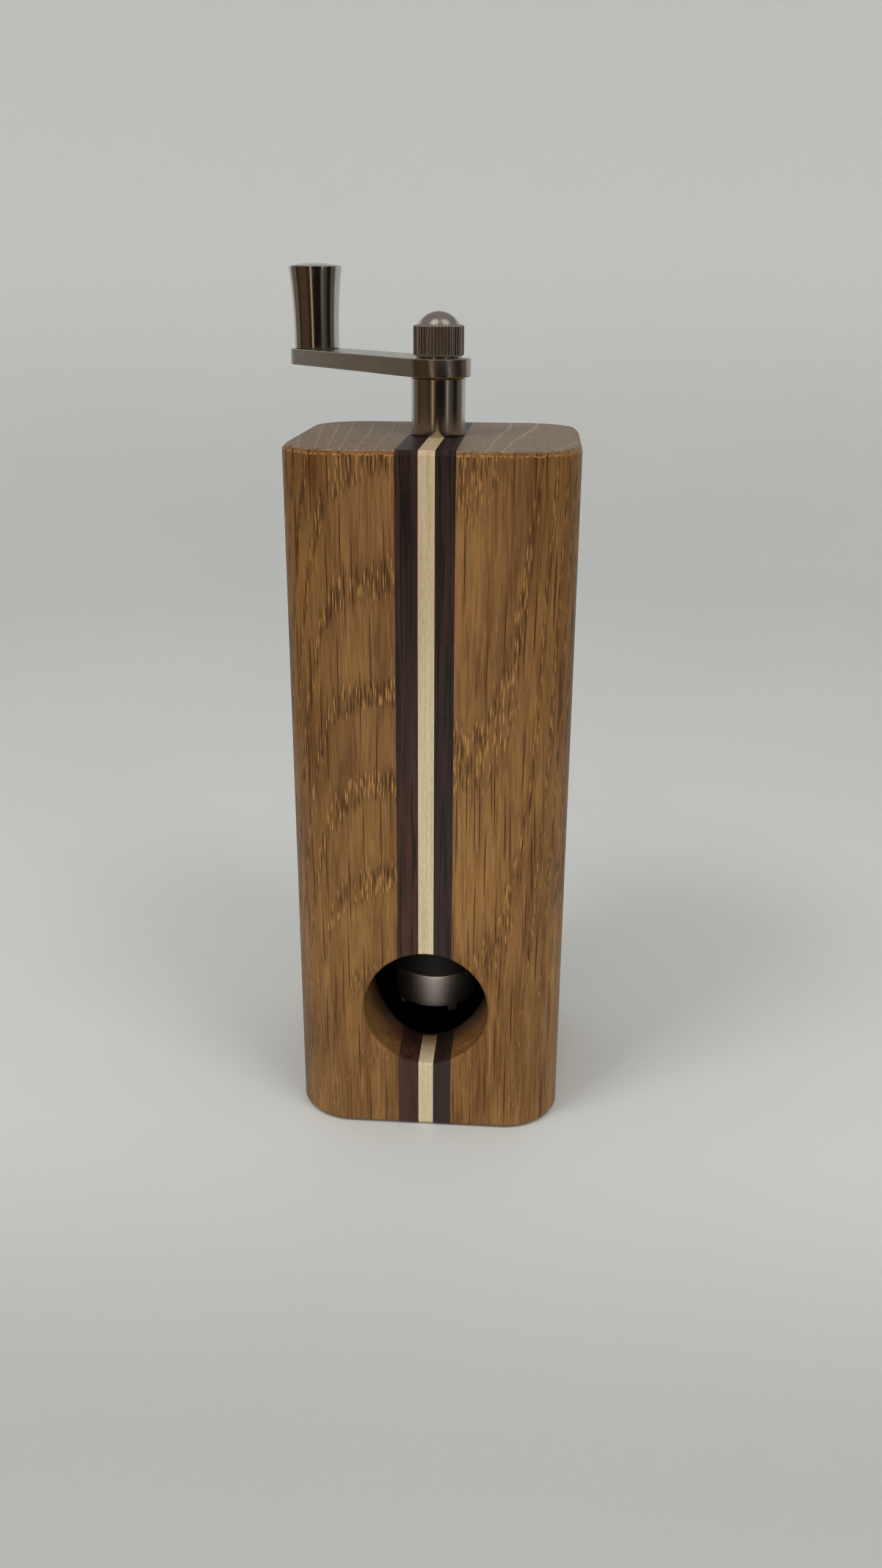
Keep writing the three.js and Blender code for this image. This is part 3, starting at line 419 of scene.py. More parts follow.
class Recipe:
    """A material, written one node at a time. Every step gives back the new node's output."""

    def __init__(self, name):
        self.material = bpy.data.materials.new(name)
        self.material.use_nodes = True
        self.tree = self.material.node_tree
        self.tree.nodes.clear()
        self.where = self.vector("MULTIPLY", self.add("TexCoord", out="Object"), (1 / MM,) * 3)

    def add(self, kind, inputs=None, out=0, **settings):
        """A shader node. inputs maps a socket to a number, a colour or another node's output."""
        node = self.tree.nodes.new("ShaderNode" + kind)
        for key, value in settings.items():
            setattr(node, key, value)
        for key, value in (inputs or {}).items():
            socket = node.inputs[key]
            if isinstance(value, bpy.types.NodeSocket):
                self.tree.links.new(value, socket)
            elif socket.type == "RGBA":
                socket.default_value = (*value[:3], 1)
            else:
                socket.default_value = value
        return node.outputs[out]

    def math(self, operation, a, b=0.0, c=0.0):
        return self.add("Math", {0: a, 1: b, 2: c}, operation=operation)

    def vector(self, operation, a, b=(0, 0, 0)):
        out = "Value" if operation in ("DOT_PRODUCT", "DISTANCE") else "Vector"
        return self.add("VectorMath", {0: a, 1: b}, out=out, operation=operation)

    def stretched(self, sizes, shift=(0, 0, 0), turn=0.0):
        """The place divided by a grain size on each axis, in millimetres, after a turn about Z."""
        place = self.where
        if turn:
            place = self.add("Mapping", {"Vector": place, "Rotation": (0, 0, turn)})
        place = self.vector("MULTIPLY", place, tuple(1 / size for size in sizes))
        return self.vector("ADD", place, shift)

    def noise(self, place, detail=2.0, roughness=0.5):
        return self.add("TexNoise", {
            "Vector": place, "Scale": 1.0, "Detail": detail, "Roughness": roughness,
        })

    def cells(self, place, dimensions="3D"):
        """Distance to the nearest of many scattered points, about one in each unit of space."""
        socket = "W" if dimensions == "1D" else "Vector"
        return self.add("TexVoronoi", {socket: place, "Scale": 1.0}, voronoi_dimensions=dimensions)

    def axes(self):
        """The place's x, y and z, and its distance from the block's axis."""
        x, y, z = (self.add("SeparateXYZ", {0: self.where}, out=axis) for axis in "XYZ")
        return x, y, z, self.math("SQRT", self.math("MULTIPLY_ADD", x, x, self.math("MULTIPLY", y, y)))

    def tint(self, colour, share, deepest):
        """Multiply a colour towards `deepest` by a share. In this script it only paints shade: on the
        port's wall and on the boards towards the top.
        """
        return self.blend(share, colour, deepest, mode="MULTIPLY")

    def times(self, a, b):
        return self.math("MULTIPLY", a, b)

    def spots(self, place, size, full, none):
        """1 inside the nearest cell's spot and 0 outside it, where the spot's size may vary."""
        reach = self.math("DIVIDE", self.cells(place), size)
        return self.math("SUBTRACT", 1.0, self.step(reach, full, none))

    def step(self, value, low, high, to_low=0.0, to_high=1.0):
        """A smooth step: to_low below `low`, to_high above `high`."""
        return self.add("MapRange", {
            "Value": value, "From Min": low, "From Max": high, "To Min": to_low, "To Max": to_high,
        }, interpolation_type="SMOOTHSTEP")

    def blend(self, share, a, b, mode="MIX"):
        return self.add("Mix", {0: share, 6: a, 7: b}, out=2, data_type="RGBA", blend_type=mode)

    def ramp(self, value, stops):
        """A colour that runs through (place, colour) stops as the value rises."""
        node = self.tree.nodes.new("ShaderNodeValToRGB")
        self.tree.links.new(value, node.inputs[0])
        elements = node.color_ramp.elements
        while len(elements) < len(stops):
            elements.new(0.5)
        for element, (place, colour) in zip(elements, stops):
            element.position = place
            element.color = (*colour, 1)
        return node.outputs[0]

    def bump(self, height, depth):
        """A relief whose height of 1 stands `depth` millimetres proud."""
        return self.add("Bump", {"Height": height, "Distance": depth * MM, "Strength": 1.0})

    def finish(self, colour, roughness, normal=None, **constants):
        """The surface shader. Constants such as metallic are set on its own sockets."""
        inputs = {"Base Color": colour, "Roughness": roughness, **constants}
        if normal:
            inputs["Normal"] = normal
        shader = self.add("BsdfPrincipled", inputs)
        output = self.tree.nodes.new("ShaderNodeOutputMaterial")
        self.tree.links.new(shader, output.inputs["Surface"])
        print(f"{self.material.name}: {len(self.tree.nodes)} nodes")
        return self.material


def coat(material, *names):
    """Give CAD nodes a material, join their loose triangles, and smooth between sharp edges."""
    for name in names:
        node = nodes[name]
        for place in node.material_slots:
            place.material = material
        node.data.shade_smooth()
        weld = node.modifiers.new("join", "WELD")
        weld.merge_threshold = 2e-6
        split = node.modifiers.new("sharp edges", "EDGE_SPLIT")
        split.split_angle = math.radians(32)
        node.modifiers.new("even shading", "WEIGHTED_NORMAL").weight = 80


def dress(material, *pieces):
    """Give new pieces a material."""
    for piece in pieces:
        piece.data.materials.append(material)


# %% [markdown]
# ## Oak
#
# Oak is ring-porous: each year's growth starts with rows of wide pores, and the rest of the ring is
# dense and smooth. Where a board is cut nearly along the rings, the porous bands show as arches of
# short dark scratches. Rays, sheets of pale tissue that run from the heart outwards, show as thin
# dark dashes on such a face and as pale lines across the end grain.
#
# The rings are worked out in space. The growth number at a point is its distance from the tree's
# heart, plus a share of its height because the tree tapers, and the part after the decimal point
# says how far through a year it is. So the same pattern turns the corner onto the ends and sides.
# The hearts lie in front of the boards, which makes the arches hang down at both sides.

# %% Oak
BLOCK_FACE = 32.5
CHAMBER_CEILING = 50.0
CHAMBER_WALL = 19.2
# Painted shade: the boards and the pale strip are darkened between these heights, in millimetres.
SHADE_FROM, SHADE_TO = 60, 158


def painted_inside_shade(r, colour, axis_away, z):
    """Painted shade: the chamber's walls are made nearly black, and the port's wall darker brown as it
    nears the chamber.
    """
    below = r.step(z, CHAMBER_CEILING - 1, CHAMBER_CEILING + 1, 1.0, 0.0)
    # Painted shade: the port's wall darkens towards the chamber.
    port = r.times(below, r.step(axis_away, CHAMBER_WALL + 0.4, BLOCK_FACE - 1, 1.0, 0.0))
    colour = r.tint(colour, port, (0.42, 0.30, 0.24))
    # Painted shade: the chamber's walls below its ceiling are painted nearly black.
    inside = r.times(below, r.step(axis_away, CHAMBER_WALL, CHAMBER_WALL + 1.2, 1.0, 0.0))
    return r.blend(r.times(inside, 0.97), colour, (0.006, 0.004, 0.003))


def early_wood(r, away, z, ring, climb, start, shift):
    """1 in the porous bands and 0 in the dense wood between them.

    growth = distance from the heart + climb * height + a slow wander + a ragged edge
    year = fraction of (growth / ring + start)"""
    across = r.noise(r.stretched((26, 26, 60), shift), 2.0)
    bend = r.math("MULTIPLY_ADD", across, 1.3, -0.65)
    growth = r.math("ADD", r.math("MULTIPLY_ADD", z, climb, away), bend)
    ragged = r.noise(r.stretched((0.9, 0.9, 9), shift), 1.0)
    growth = r.math("MULTIPLY_ADD", ragged, 0.55, growth)
    year = r.math("FRACT", r.math("MULTIPLY_ADD", growth, 1 / ring, start))
    early = r.times(r.step(year, 0.0, 0.12), r.step(year, 0.28, 0.50, 1.0, 0.0))
    return r.times(early, r.step(z, 25, 75, 0.4, 1.0))


def rays(r, heart, heart_x, heart_y, y, z, ray_gap, shift):
    """Dashes for the long faces, and lines for the end grain, that fan out from the heart.

    Both read side = angle round the heart * the heart's distance from the front. On the two sides
    of the block the board is cut along the rays, where they would be broad patches, so the dashes
    fade there."""
    reach = abs(heart[1] + BLOCK_FACE)
    sway = r.math("MULTIPLY_ADD", r.noise(r.stretched((30, 30, 40), shift), 1.0), 1.4, -0.7)
    side = r.math("MULTIPLY_ADD", r.math("ARCTAN2", heart_x, heart_y), reach, sway)
    place = r.add("CombineXYZ", {0: r.times(side, 1 / 1.25), 1: r.times(z, 1 / 76), 2: 0.0})
    dash = r.step(r.cells(place, "2D"), 0.085, 0.15, 1.0, 0.0)
    dash = r.times(dash, r.step(r.math("ABSOLUTE", y), 22, 31, 0.2, 1.0))
    line = r.step(r.cells(r.times(side, 1 / ray_gap), "1D"), 0.012, 0.055, 1.0, 0.0)
    return dash, line


def long_grain(r, early, pore, fleck, dash, fibre, light, dark, shift):
    """The colour of the faces cut along the trunk, from fine fibre up to broad soft patches."""
    vein = r.noise(r.stretched((2.2, 2.2, 30), shift), 2.0, 0.55)
    patch = r.noise(r.stretched((10, 14, 40), shift), 2.0)
    broad = r.math("MULTIPLY_ADD", vein, 0.24, r.times(patch, 0.34))
    middle = tuple((a + b) / 2 for a, b in zip(light, dark))
    wood = r.ramp(
        r.math("MULTIPLY_ADD", fibre, 0.42, broad), [(0.38, dark), (0.50, middle), (0.62, light)])
    wood = r.blend(r.times(early, 0.40), wood, dark)
    wood = r.blend(r.times(fleck, 0.75), wood, paler(light))
    deep = tuple(0.22 * v for v in dark)
    wood = r.blend(r.times(pore, r.math("MULTIPLY_ADD", early, 0.35, 0.35)), wood, deep)
    ray_brown = (0.5 * dark[0], 0.36 * dark[1], 0.3 * dark[2])
    return r.blend(r.times(dash, 0.85), wood, ray_brown)


def end_grain(r, early, pore, line, shift):
    """The greyer, sawn colour of the top and the underside, with pale ray lines across it."""
    speck = r.noise(r.stretched((0.7, 0.5, 0.7), shift), 2.0, 0.7)
    sawn = r.ramp(speck, [(0.34, (0.16, 0.108, 0.072)), (0.62, (0.36, 0.27, 0.20))])
    sawn = r.blend(r.times(early, 0.42), sawn, (0.13, 0.085, 0.052))
    sawn = r.blend(r.times(pore, 0.6), sawn, (0.07, 0.045, 0.027))
    return r.blend(r.times(line, 0.5), sawn, (0.52, 0.43, 0.33))


def paler(light):
    """A board's light colour, raised by half for flecks and for the painted highlight along the top
    chamfer's edge.
    """
    return tuple(min(1, 1.5 * v) for v in light)


def oak(name, heart, ring, climb, start, ray_gap, light, dark, shift):
    """An oak board. heart is the x, y of the tree's heart from the block's axis, in millimetres.

    A pore is a spot in a cell of 0.44 x 0.44 x 7 mm, and grows with the early wood. A fleck is a
    paler spot of the same kind. The end grain takes over within half a millimetre of each end."""
    r = Recipe(name)
    x, y, z, axis_away = r.axes()
    heart_x, heart_y = r.math("SUBTRACT", x, heart[0]), r.math("SUBTRACT", y, heart[1])
    away = r.math("SQRT", r.math("MULTIPLY_ADD", heart_x, heart_x, r.times(heart_y, heart_y)))
    early = early_wood(r, away, z, ring, climb, start, shift)
    dash, line = rays(r, heart, heart_x, heart_y, y, z, ray_gap, shift)
    pore = r.spots(
        r.stretched((0.44, 0.44, 7.0), shift), r.math("MULTIPLY_ADD", early, 0.34, 0.10), 0.55, 1.1)
    fleck_place = r.stretched((0.46, 0.46, 4.4), (shift[0] + 7.3, shift[1], shift[2] + 2.2))
    fleck = r.spots(fleck_place, r.math("MULTIPLY_ADD", early, 0.42, 0.03), 0.5, 1.1)
    fibre = r.noise(r.stretched((0.42, 0.42, 9), shift), 3.0, 0.65)

    top_end = r.step(z, block_top - 0.45, block_top - 0.1)
    end = r.math("MAXIMUM", top_end, r.step(z, 0.1, 0.45, 1.0, 0.0))
    wood = long_grain(r, early, pore, fleck, dash, fibre, light, dark, shift)
    colour = r.blend(end, wood, end_grain(r, early, pore, line, shift))
    # Painted shade: the board is darkened towards the top.
    colour = r.tint(colour, r.step(z, SHADE_FROM, SHADE_TO), (0.80, 0.76, 0.70))
    # Painted shade: the chamber is made nearly black and the port's wall darker near it.
    colour = painted_inside_shade(r, colour, axis_away, z)

    # Painted highlight: a broken pale line about 1 mm below the top, where the chamfer's edge catches the
    # light.
    below_top = r.math("ABSOLUTE", r.math("SUBTRACT", z, block_top - 1.0))
    edge = r.step(below_top, 0.1, 0.32, 1.0, 0.0)
    highlight_breakup = r.step(r.noise(r.stretched((0.7, 0.7, 0.5), shift), 2.0), 0.47, 0.6)
    colour = r.blend(r.times(r.times(edge, highlight_breakup), 0.55), colour, paler(light))

    height = r.math("MULTIPLY_ADD", pore, -1.0, r.times(fibre, 0.45))
    height = r.math("MULTIPLY_ADD", dash, -0.5, height)
    roughness = r.math("MULTIPLY_ADD", fibre, 0.16, r.math("MULTIPLY_ADD", pore, 0.2, 0.36))
    return r.finish(colour, roughness, r.bump(height, 0.05), **{"Specular IOR Level": 0.24})


oak_left = oak(
    "oak, left board", (-8, -152), 3.0, 0.125, 0.50, 3.4,
    (0.36, 0.184, 0.056), (0.135, 0.056, 0.0135), (0.0, 0.0, 0.0))
oak_right = oak(
    "oak, right board", (9, -88), 2.9, -0.047, 0.55, 5.6,
    (0.385, 0.196, 0.060), (0.140, 0.058, 0.0140), (31.0, 17.0, 5.0))
coat(oak_left, "oak_left")
coat(oak_right, "oak_right")

# %% [markdown]
# ## The dark and the pale strips
#
# The thin strips glued between the oak boards are a blackish-brown hardwood on each side of a creamy
# one. Both have very fine pores, so the pattern is made of long soft streaks, with small ticks where
# a pore is cut open. The dark strip on the left turns redder towards the foot.

# %% Strip woods


def dark_wood(name, black, brown, red, red_low, red_high, shift):
    """Streaks from two long noises, with black veins where a third noise is low."""
    r = Recipe(name)
    x, y, z, axis_away = r.axes()
    streak = r.noise(r.stretched((0.55, 0.55, 26), shift), 3.0, 0.6)
    broad = r.noise(r.stretched((2.2, 4.0, 60), shift), 2.0)
    tone = r.math("MULTIPLY_ADD", streak, 0.6, r.times(broad, 0.5))
    colour = r.ramp(tone, [(0.44, black), (0.55, brown), (0.68, tuple(1.6 * v for v in brown))])
    low = r.step(z, red_low, red_high, 1.0, 0.0)
    patchy = r.step(r.noise(r.stretched((2.6, 5, 24), shift), 2.0), 0.3, 0.7)
    colour = r.blend(r.times(low, r.math("MULTIPLY_ADD", patchy, 0.5, 0.35)), colour, red)
    vein_place = r.stretched((0.7, 3, 30), (shift[0] + 9, shift[1], shift[2]))
    vein = r.step(r.noise(vein_place, 2.0), 0.34, 0.42, 1.0, 0.0)
    colour = r.blend(r.times(vein, 0.8), colour, black)
    pore = r.step(r.cells(r.stretched((0.34, 0.34, 3.4), shift)), 0.10, 0.22, 1.0, 0.0)
    colour = r.blend(r.times(pore, 0.55), colour, tuple(0.4 * v for v in black))
    # Painted shade: the chamber is made nearly black and the port's wall darker near it.
    colour = painted_inside_shade(r, colour, axis_away, z)
    fine = r.noise(r.stretched((0.25, 0.25, 5), shift), 2.0)
    height = r.math("MULTIPLY_ADD", pore, -1.0, r.times(fine, 0.5))
    roughness = r.math("MULTIPLY_ADD", fine, 0.2, 0.34)
    return r.finish(colour, roughness, r.bump(height, 0.03), **{"Specular IOR Level": 0.25})


def pale_wood(name):
    """Creamy wood: short soft flecks, faint long streaks and a few warm specks."""
    r = Recipe(name)
    x, y, z, axis_away = r.axes()
    fleck = r.noise(r.stretched((0.5, 0.5, 2.0)), 3.0, 0.6)
    streak = r.noise(r.stretched((0.9, 0.9, 40)), 2.0)
    tone = r.math("MULTIPLY_ADD", fleck, 0.5, r.times(streak, 0.5))
    colour = r.ramp(tone, [
        (0.36, (0.60, 0.46, 0.28)), (0.52, (0.72, 0.585, 0.395)), (0.68, (0.79, 0.66, 0.47)),
    ])
    speck = r.step(r.cells(r.stretched((0.8, 0.8, 1.9))), 0.12, 0.24, 1.0, 0.0)
    colour = r.blend(r.times(speck, 0.22), colour, (0.55, 0.33, 0.2))
    # Painted shade: the pale strip is darkened towards the top.
    colour = r.tint(colour, r.step(z, SHADE_FROM, SHADE_TO), (0.78, 0.735, 0.68))
    # Painted shade: the chamber is made nearly black and the port's wall darker near it.
    colour = painted_inside_shade(r, colour, axis_away, z)
    roughness = r.math("MULTIPLY_ADD", fleck, 0.18, 0.34)
    return r.finish(colour, roughness, r.bump(fleck, 0.015), **{"Specular IOR Level": 0.35})


dark_left = dark_wood(
    "dark strip wood, left", (0.007, 0.0035, 0.0028), (0.028, 0.0125, 0.0085),
    (0.085, 0.032, 0.021), 62, 108, (0.0, 0.0, 0.0))
dark_right = dark_wood(
    "dark strip wood, right", (0.007, 0.0036, 0.0030), (0.024, 0.0120, 0.0090),
    (0.042, 0.026, 0.022), 30, 110, (23.0, 5.0, 3.0))
pale_strip = pale_wood("pale strip wood")
coat(dark_left, "dark_strip_left", "dark_strip_left_sill")
coat(dark_right, "dark_strip_right", "dark_strip_right_sill")
coat(pale_strip, "light_strip_front", "light_strip_back", "light_strip_sill")

# %% [markdown]
# ## Steels
#
# The round steel pieces keep the fine rings of the lathe tool: lines that go round the axis, so on a
# side wall they change only with height and on a flat end only with distance from the axis. They
# hardly change the shape, but they spread a highlight up and down. The crank arm is brushed along
# its length. Finger marks are soft patches of slightly duller metal.

# %% Steel


def steel(name, colour, dull, lines, centre=(0, 0), marks=0.05, brushed=None):
    """Steel with tool lines. The line pattern reads (distance from the axis, height) or, when it is
    brushed at an angle, the place stretched 60 to 1 along that angle."""
    r = Recipe(name)
    if brushed is None:
        x, y, z, axis_away = r.axes()
        flat = r.add("CombineXYZ", {0: x, 1: y, 2: 0.0})
        away = r.vector("DISTANCE", flat, (*centre, 0))
        track = r.add("CombineXYZ", {0: r.times(away, 14.0), 1: 0.0, 2: r.times(z, 14.0)})
    else:
        track = r.stretched((9.0, 0.11, 0.11), turn=-brushed)
    line = r.noise(track, 2.0, 0.7)
    smear = r.noise(r.stretched((2.6, 2.6, 3.4)), 3.0, 0.6)
    scratch = r.noise(r.stretched((0.18, 0.18, 2.6), turn=0.6), 1.0)
    tint = r.blend(r.step(smear, 0.35, 0.7, 0.0, 0.28), colour, tuple(0.72 * v for v in colour))
    tint = r.blend(r.step(line, 0.3, 0.7, 0.0, 0.16), tint, tuple(0.6 * v for v in colour))
    roughness = r.math("MULTIPLY_ADD", r.step(smear, 0.4, 0.7), marks, dull)
    roughness = r.math("MULTIPLY_ADD", line, 0.05, roughness)
    height = r.math("MULTIPLY_ADD", line, 1.0, r.times(scratch, 0.2))
    return r.finish(tint, roughness, r.bump(height, lines), Metallic=1.0)


STEEL_TINT = (0.60, 0.57, 0.53)
collar_steel = steel("steel, turned collar", STEEL_TINT, 0.17, 0.0012)
grip_steel = steel("steel, turned grip", STEEL_TINT, 0.12, 0.0008, marks=0.03, centre=tuple(grip_centre))
nut_steel = steel("steel, knurled nut", STEEL_TINT, 0.16, 0.0010)
cap_steel = steel("steel, domed cap", STEEL_TINT, 0.13, 0.0005)
ring_steel = steel("steel, clamp ring", (0.88, 0.85, 0.81), 0.40, 0.0015, marks=0.03)
arm_angle = math.atan2(grip_centre[1], grip_centre[0])
arm_steel = steel("steel, brushed arm", (0.48, 0.44, 0.395), 0.24, 0.0015, brushed=arm_angle)
shaft_steel = steel("steel, shafts and screws", (0.55, 0.53, 0.50), 0.30, 0.0015)
burr_steel = steel("steel, hardened burrs", (0.36, 0.36, 0.37), 0.42, 0.004, marks=0.12)
dress(collar_steel, collar)
dress(grip_steel, grip)
dress(nut_steel, knurled_nut)
dress(cap_steel, domed_cap)
dress(ring_steel, clamp_ring)
coat(arm_steel, "crank_arm")
coat(
    shaft_steel, "spindle", "bush_nut", "grip_axle", "axle_snap_ring", "burr_nut", "spring_washer",
    "lift_spring", "carrier_screw_1", "carrier_screw_2", "carrier_screw_3", "carrier_screw_4")
coat(burr_steel, "inner_burr", "outer_burr")

# %% [markdown]
# ## Bronze, plastic, rubber and nylon
#
# These pieces are inside the mill or between moving pieces. The moulded ones have a fine even
# texture from the mould, the bronze has tool lines like the steel, and the rubber is dull and dusty.

# %% Small materials
bronze = steel("bronze, bearings", (0.56, 0.36, 0.16), 0.34, 0.003, marks=0.1)
coat(bronze, "thrust_washer", "spindle_bush")


def moulded(name, low, high, roughness, grain, depth):
    """A moulded finish: colour and roughness follow a fine noise, with larger faint clouds."""
    r = Recipe(name)
    fine = r.noise(r.stretched((grain, grain, grain)), 3.0, 0.6)
    cloud = r.noise(r.stretched((9, 9, 9)), 2.0)
    tone = r.math("MULTIPLY_ADD", fine, 0.5, r.times(cloud, 0.5))
    colour = r.ramp(tone, [(0.38, low), (0.64, high)])
    return r.finish(colour, r.math("MULTIPLY_ADD", fine, 0.2, roughness), r.bump(fine, depth))


black_plastic = moulded(
    "black moulded plastic", (0.007, 0.007, 0.007), (0.016, 0.015, 0.014), 0.5, 0.35, 0.02)
black_rubber = moulded("black rubber", (0.006, 0.006, 0.006), (0.014, 0.014, 0.014), 0.72, 0.25, 0.015)
pale_nylon = moulded("pale nylon", (0.6, 0.57, 0.5), (0.78, 0.75, 0.68), 0.35, 0.5, 0.01)
coat(black_plastic, "base_plug", "burr_carrier")
coat(black_rubber, "plug_seal")
coat(pale_nylon, "grip_washer")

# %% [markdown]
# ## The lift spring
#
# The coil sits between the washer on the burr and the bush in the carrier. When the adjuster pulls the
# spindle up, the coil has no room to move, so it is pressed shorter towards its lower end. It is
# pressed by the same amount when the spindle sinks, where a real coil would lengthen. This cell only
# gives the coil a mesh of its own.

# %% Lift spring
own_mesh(nodes["lift_spring"])

# %% [markdown]
# ## The studio
#
# The mill stands on a pale sheet that sweeps up into a wall all round, so every view has the same
# background. Two soft lamps in front, at left and right, throw two soft shadows backwards. A low
# lamp fills in the front, and a large one hangs above and behind. The room itself glows faintly.
#
# Polished steel shows what is around it, so two cards are there for reflections alone. A dark screen
# stands round the front with a few thin openings, which make the dark and bright bands on the round
# pieces, and a bright foot in front of the port for the clamp ring. A grey canopy closes it above,
# with two soft spots for the cap.

# %% Pale floor and wall
FLOOR_FLAT = 0.62
COVE = 0.55
WALL_TOP = 1.7


def studio_rows():
    """A bowl: flat to FLOOR_FLAT, a quarter circle of radius COVE, then straight up."""
    flat = np.stack([np.linspace(0.01, FLOOR_FLAT, 12), np.zeros(12)], axis=-1)
    turn = np.linspace(0, math.pi / 2, 25)[1:]
    bend = np.stack([FLOOR_FLAT + COVE * np.sin(turn), COVE * (1 - np.cos(turn))], axis=-1)
    wall = [[FLOOR_FLAT + COVE, WALL_TOP]]
    profile = np.vstack([flat, bend, wall]) / MM
    return turn_profile(profile, 96)


def paper():
    """Matt pale paper with a faint uneven tone, a painted shadow across the front of the floor, and
    painted light that makes the sweep paler as it rises.
    """
    r = Recipe("pale paper")
    cloud = r.noise(r.stretched((160, 160, 160)), 3.0)
    fibre = r.noise(r.stretched((1.2, 1.2, 1.2)), 2.0)
    tone = r.math("MULTIPLY_ADD", fibre, 0.12, r.times(cloud, 0.88))
    colour = r.ramp(tone, [(0.3, (0.715, 0.727, 0.715)), (0.7, (0.74, 0.75, 0.735))])
    x, y, z, axis_away = r.axes()
    # Painted shadow: the floor is darkened in front of the mill.
    colour = r.blend(r.step(y, -140, -30, 0.44, 0.0), colour, (0.3, 0.305, 0.295))
    # Painted light: the sweep is made paler as it rises.
    colour = r.blend(r.step(z, 0, 250), colour, (0.86, 0.865, 0.855))
    roughness = r.math("MULTIPLY_ADD", fibre, 0.1, 0.8)
    return r.finish(colour, roughness, r.bump(fibre, 0.01), **{"Specular IOR Level": 0.1})


sheet_mesh = make_mesh("pale_floor", studio_rows(), bottom_pole=np.zeros(3))
sheet_mesh.flip_normals()
sheet_mesh.shade_smooth()
floor = bpy.data.objects.new("pale_floor", sheet_mesh)
scene.collection.objects.link(floor)
dress(paper(), floor)

# %% Lamps


def lamp(name, turn, distance, height, size, power, colour, aim=0.1, glossy=True):
    """A square lamp aimed at a height on the mill's axis.

    turn is measured from the front towards +X in degrees, and the rest in metres and watts."""
    data = bpy.data.lights.new(name, "AREA")
    data.size = size
    data.energy = power
    data.color = colour
    light = bpy.data.objects.new(name, data)
    a = math.radians(turn)
    light.location = (distance * math.sin(a), -distance * math.cos(a), height)
    back = light.location - Vector((0, 0, aim))
    light.rotation_euler = back.to_track_quat("Z", "Y").to_euler()
    light.visible_camera = False
    light.visible_glossy = glossy
    scene.collection.objects.link(light)
    print(f"{name}: {power} W, {size} m")
    return light


LEFT_POWER = 2.75
RIGHT_POWER = 1.9
FRONT_POWER = 0.6
BACK_POWER = 0.4
ROOM_STRENGTH = 0.52
lamp("left lamp", -45, 0.60, 0.95, 0.32, LEFT_POWER, (1.0, 0.985, 0.965), glossy=False)
lamp("right lamp", 45, 0.60, 0.95, 0.32, RIGHT_POWER, (1.0, 0.985, 0.965), glossy=False)
lamp("front fill", 4, 0.45, 0.03, 0.36, FRONT_POWER, (1.0, 0.985, 0.965), aim=0.05, glossy=False)
lamp("back lamp", 180, 0.35, 1.25, 0.8, BACK_POWER, (0.97, 0.99, 1.0), aim=0.0)
world = bpy.data.worlds.new("room")
world.use_nodes = True
world.node_tree.nodes["Background"].inputs["Color"].default_value = (1.0, 0.99, 0.965, 1)
world.node_tree.nodes["Background"].inputs["Strength"].default_value = ROOM_STRENGTH
scene.world = world

# %% Dark screen for the reflections
SCREEN_RADIUS = 0.30
SCREEN_HEIGHT = 0.34
SCREEN_LEFT = math.radians(-124)
SCREEN_RIGHT = math.radians(120)


def screen_rows():
    """Part of a cylinder round the mill: x = R sin(a), y = -R cos(a), between two angles."""
    angle = np.linspace(SCREEN_LEFT, SCREEN_RIGHT, 97)
    height = np.linspace(0.002, SCREEN_HEIGHT, 13)[:, None]
    return np.stack([
        SCREEN_RADIUS * np.sin(angle) + 0 * height,
        -SCREEN_RADIUS * np.cos(angle) + 0 * height,
        height + 0 * angle,
    ], axis=-1)


def open_mesh(name, rows):
    """A mesh of one open sheet of points."""
    count, columns, _ = rows.shape
    here = np.arange(count * columns).reshape(count, columns)
    quads = np.stack([here[:-1, :-1], here[:-1, 1:], here[1:, 1:], here[1:, :-1]], axis=-1).reshape(-1, 4)
    mesh = bpy.data.meshes.new(name)
    mesh.from_pydata(rows.reshape(-1, 3).tolist(), [], quads.tolist())
    return mesh


def glowing(r, glow):
    """Close a recipe with a plain glow of a colour."""
    emission = r.add("Emission", {"Color": glow, "Strength": 1.0})
    output = r.tree.nodes.new("ShaderNodeOutputMaterial")
    r.tree.links.new(emission, output.inputs["Surface"])
    return r.material


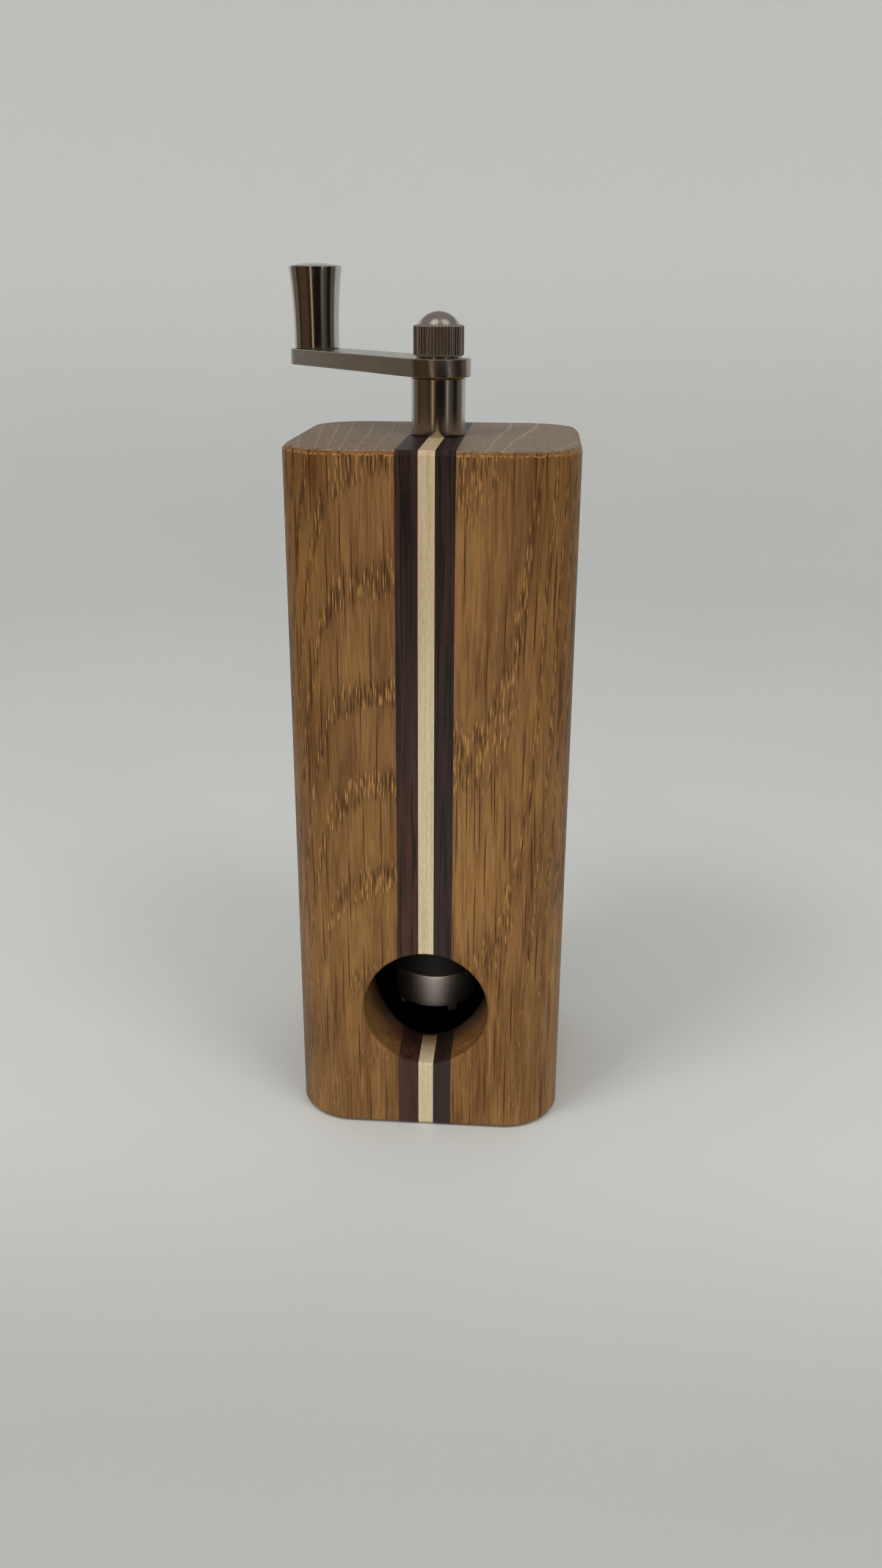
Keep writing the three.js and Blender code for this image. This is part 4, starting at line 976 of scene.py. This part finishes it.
def screen_material():
    """A glow that depends on the angle round the mill: dark brown with thin bright openings."""
    r = Recipe("reflection screen")
    x, y, z, axis_away = r.axes()
    turn = r.math("DEGREES", r.math("ARCTAN2", x, r.times(y, -1.0)))

    def opening(middle, half, soft, colour, base):
        away = r.math("ABSOLUTE", r.math("SUBTRACT", turn, middle))
        return r.blend(r.step(away, half, half + soft, 1.0, 0.0), base, colour)

    glow = (0.008, 0.006, 0.005, 1)
    glow = opening(-62, 16, 14, (0.085, 0.052, 0.032), glow)
    glow = opening(-20, 0.9, 4, (0.95, 0.66, 0.42), glow)
    glow = opening(52, 8, 14, (0.075, 0.066, 0.055), glow)
    glow = opening(42, 0.7, 3, (0.85, 0.78, 0.68), glow)
    glow = opening(-108, 10, 8, (0.17, 0.14, 0.11), glow)
    glow = opening(104, 8, 10, (0.13, 0.11, 0.09), glow)
    ahead = r.step(r.math("ABSOLUTE", turn), 26, 42, 1.0, 0.0)
    foot = r.times(ahead, r.step(z, 25, 55, 1.0, 0.0))
    glow = r.blend(foot, glow, (3.0, 2.76, 2.44))
    return glowing(r, glow)


def canopy_rows():
    """A quarter-ball canopy on the screen: r = R cos(t), h = top + R sin(t), all the way round."""
    t = np.linspace(0, math.pi / 2, 17)[:-1]
    profile = np.stack([SCREEN_RADIUS * np.cos(t), SCREEN_HEIGHT + SCREEN_RADIUS * np.sin(t)], axis=-1)
    return turn_profile(profile / MM, 96)


def canopy_material():
    """A grey ceiling with two soft lamps in it, placed by their direction from the cap."""
    r = Recipe("reflection canopy")
    ahead = r.vector("NORMALIZE", r.vector("SUBTRACT", r.where, (0.0, 0.0, float(cap_high[2]))))
    glow = (0.25, 0.235, 0.21, 1)
    for direction, strength in (((-0.26, -0.32, 0.91), 0.85), ((0.44, -0.17, 0.88), 0.75)):
        near = r.vector("DOT_PRODUCT", ahead, direction)
        share = r.step(near, math.cos(math.radians(22)), math.cos(math.radians(3)))
        glow = r.blend(share, glow, (strength, 0.96 * strength, 0.88 * strength))
    return glowing(r, glow)


screen = bpy.data.objects.new("reflection_screen", open_mesh("reflection_screen", screen_rows()))
canopy = bpy.data.objects.new("reflection_canopy", make_mesh(
    "reflection_canopy", canopy_rows(), top_pole=np.array([0, 0, SCREEN_HEIGHT + SCREEN_RADIUS])))
for card, glow in ((screen, screen_material()), (canopy, canopy_material())):
    scene.collection.objects.link(card)
    dress(glow, card)
    card.visible_camera = False
    card.visible_diffuse = False
    card.visible_transmission = False
    card.visible_volume_scatter = False
    card.visible_shadow = False
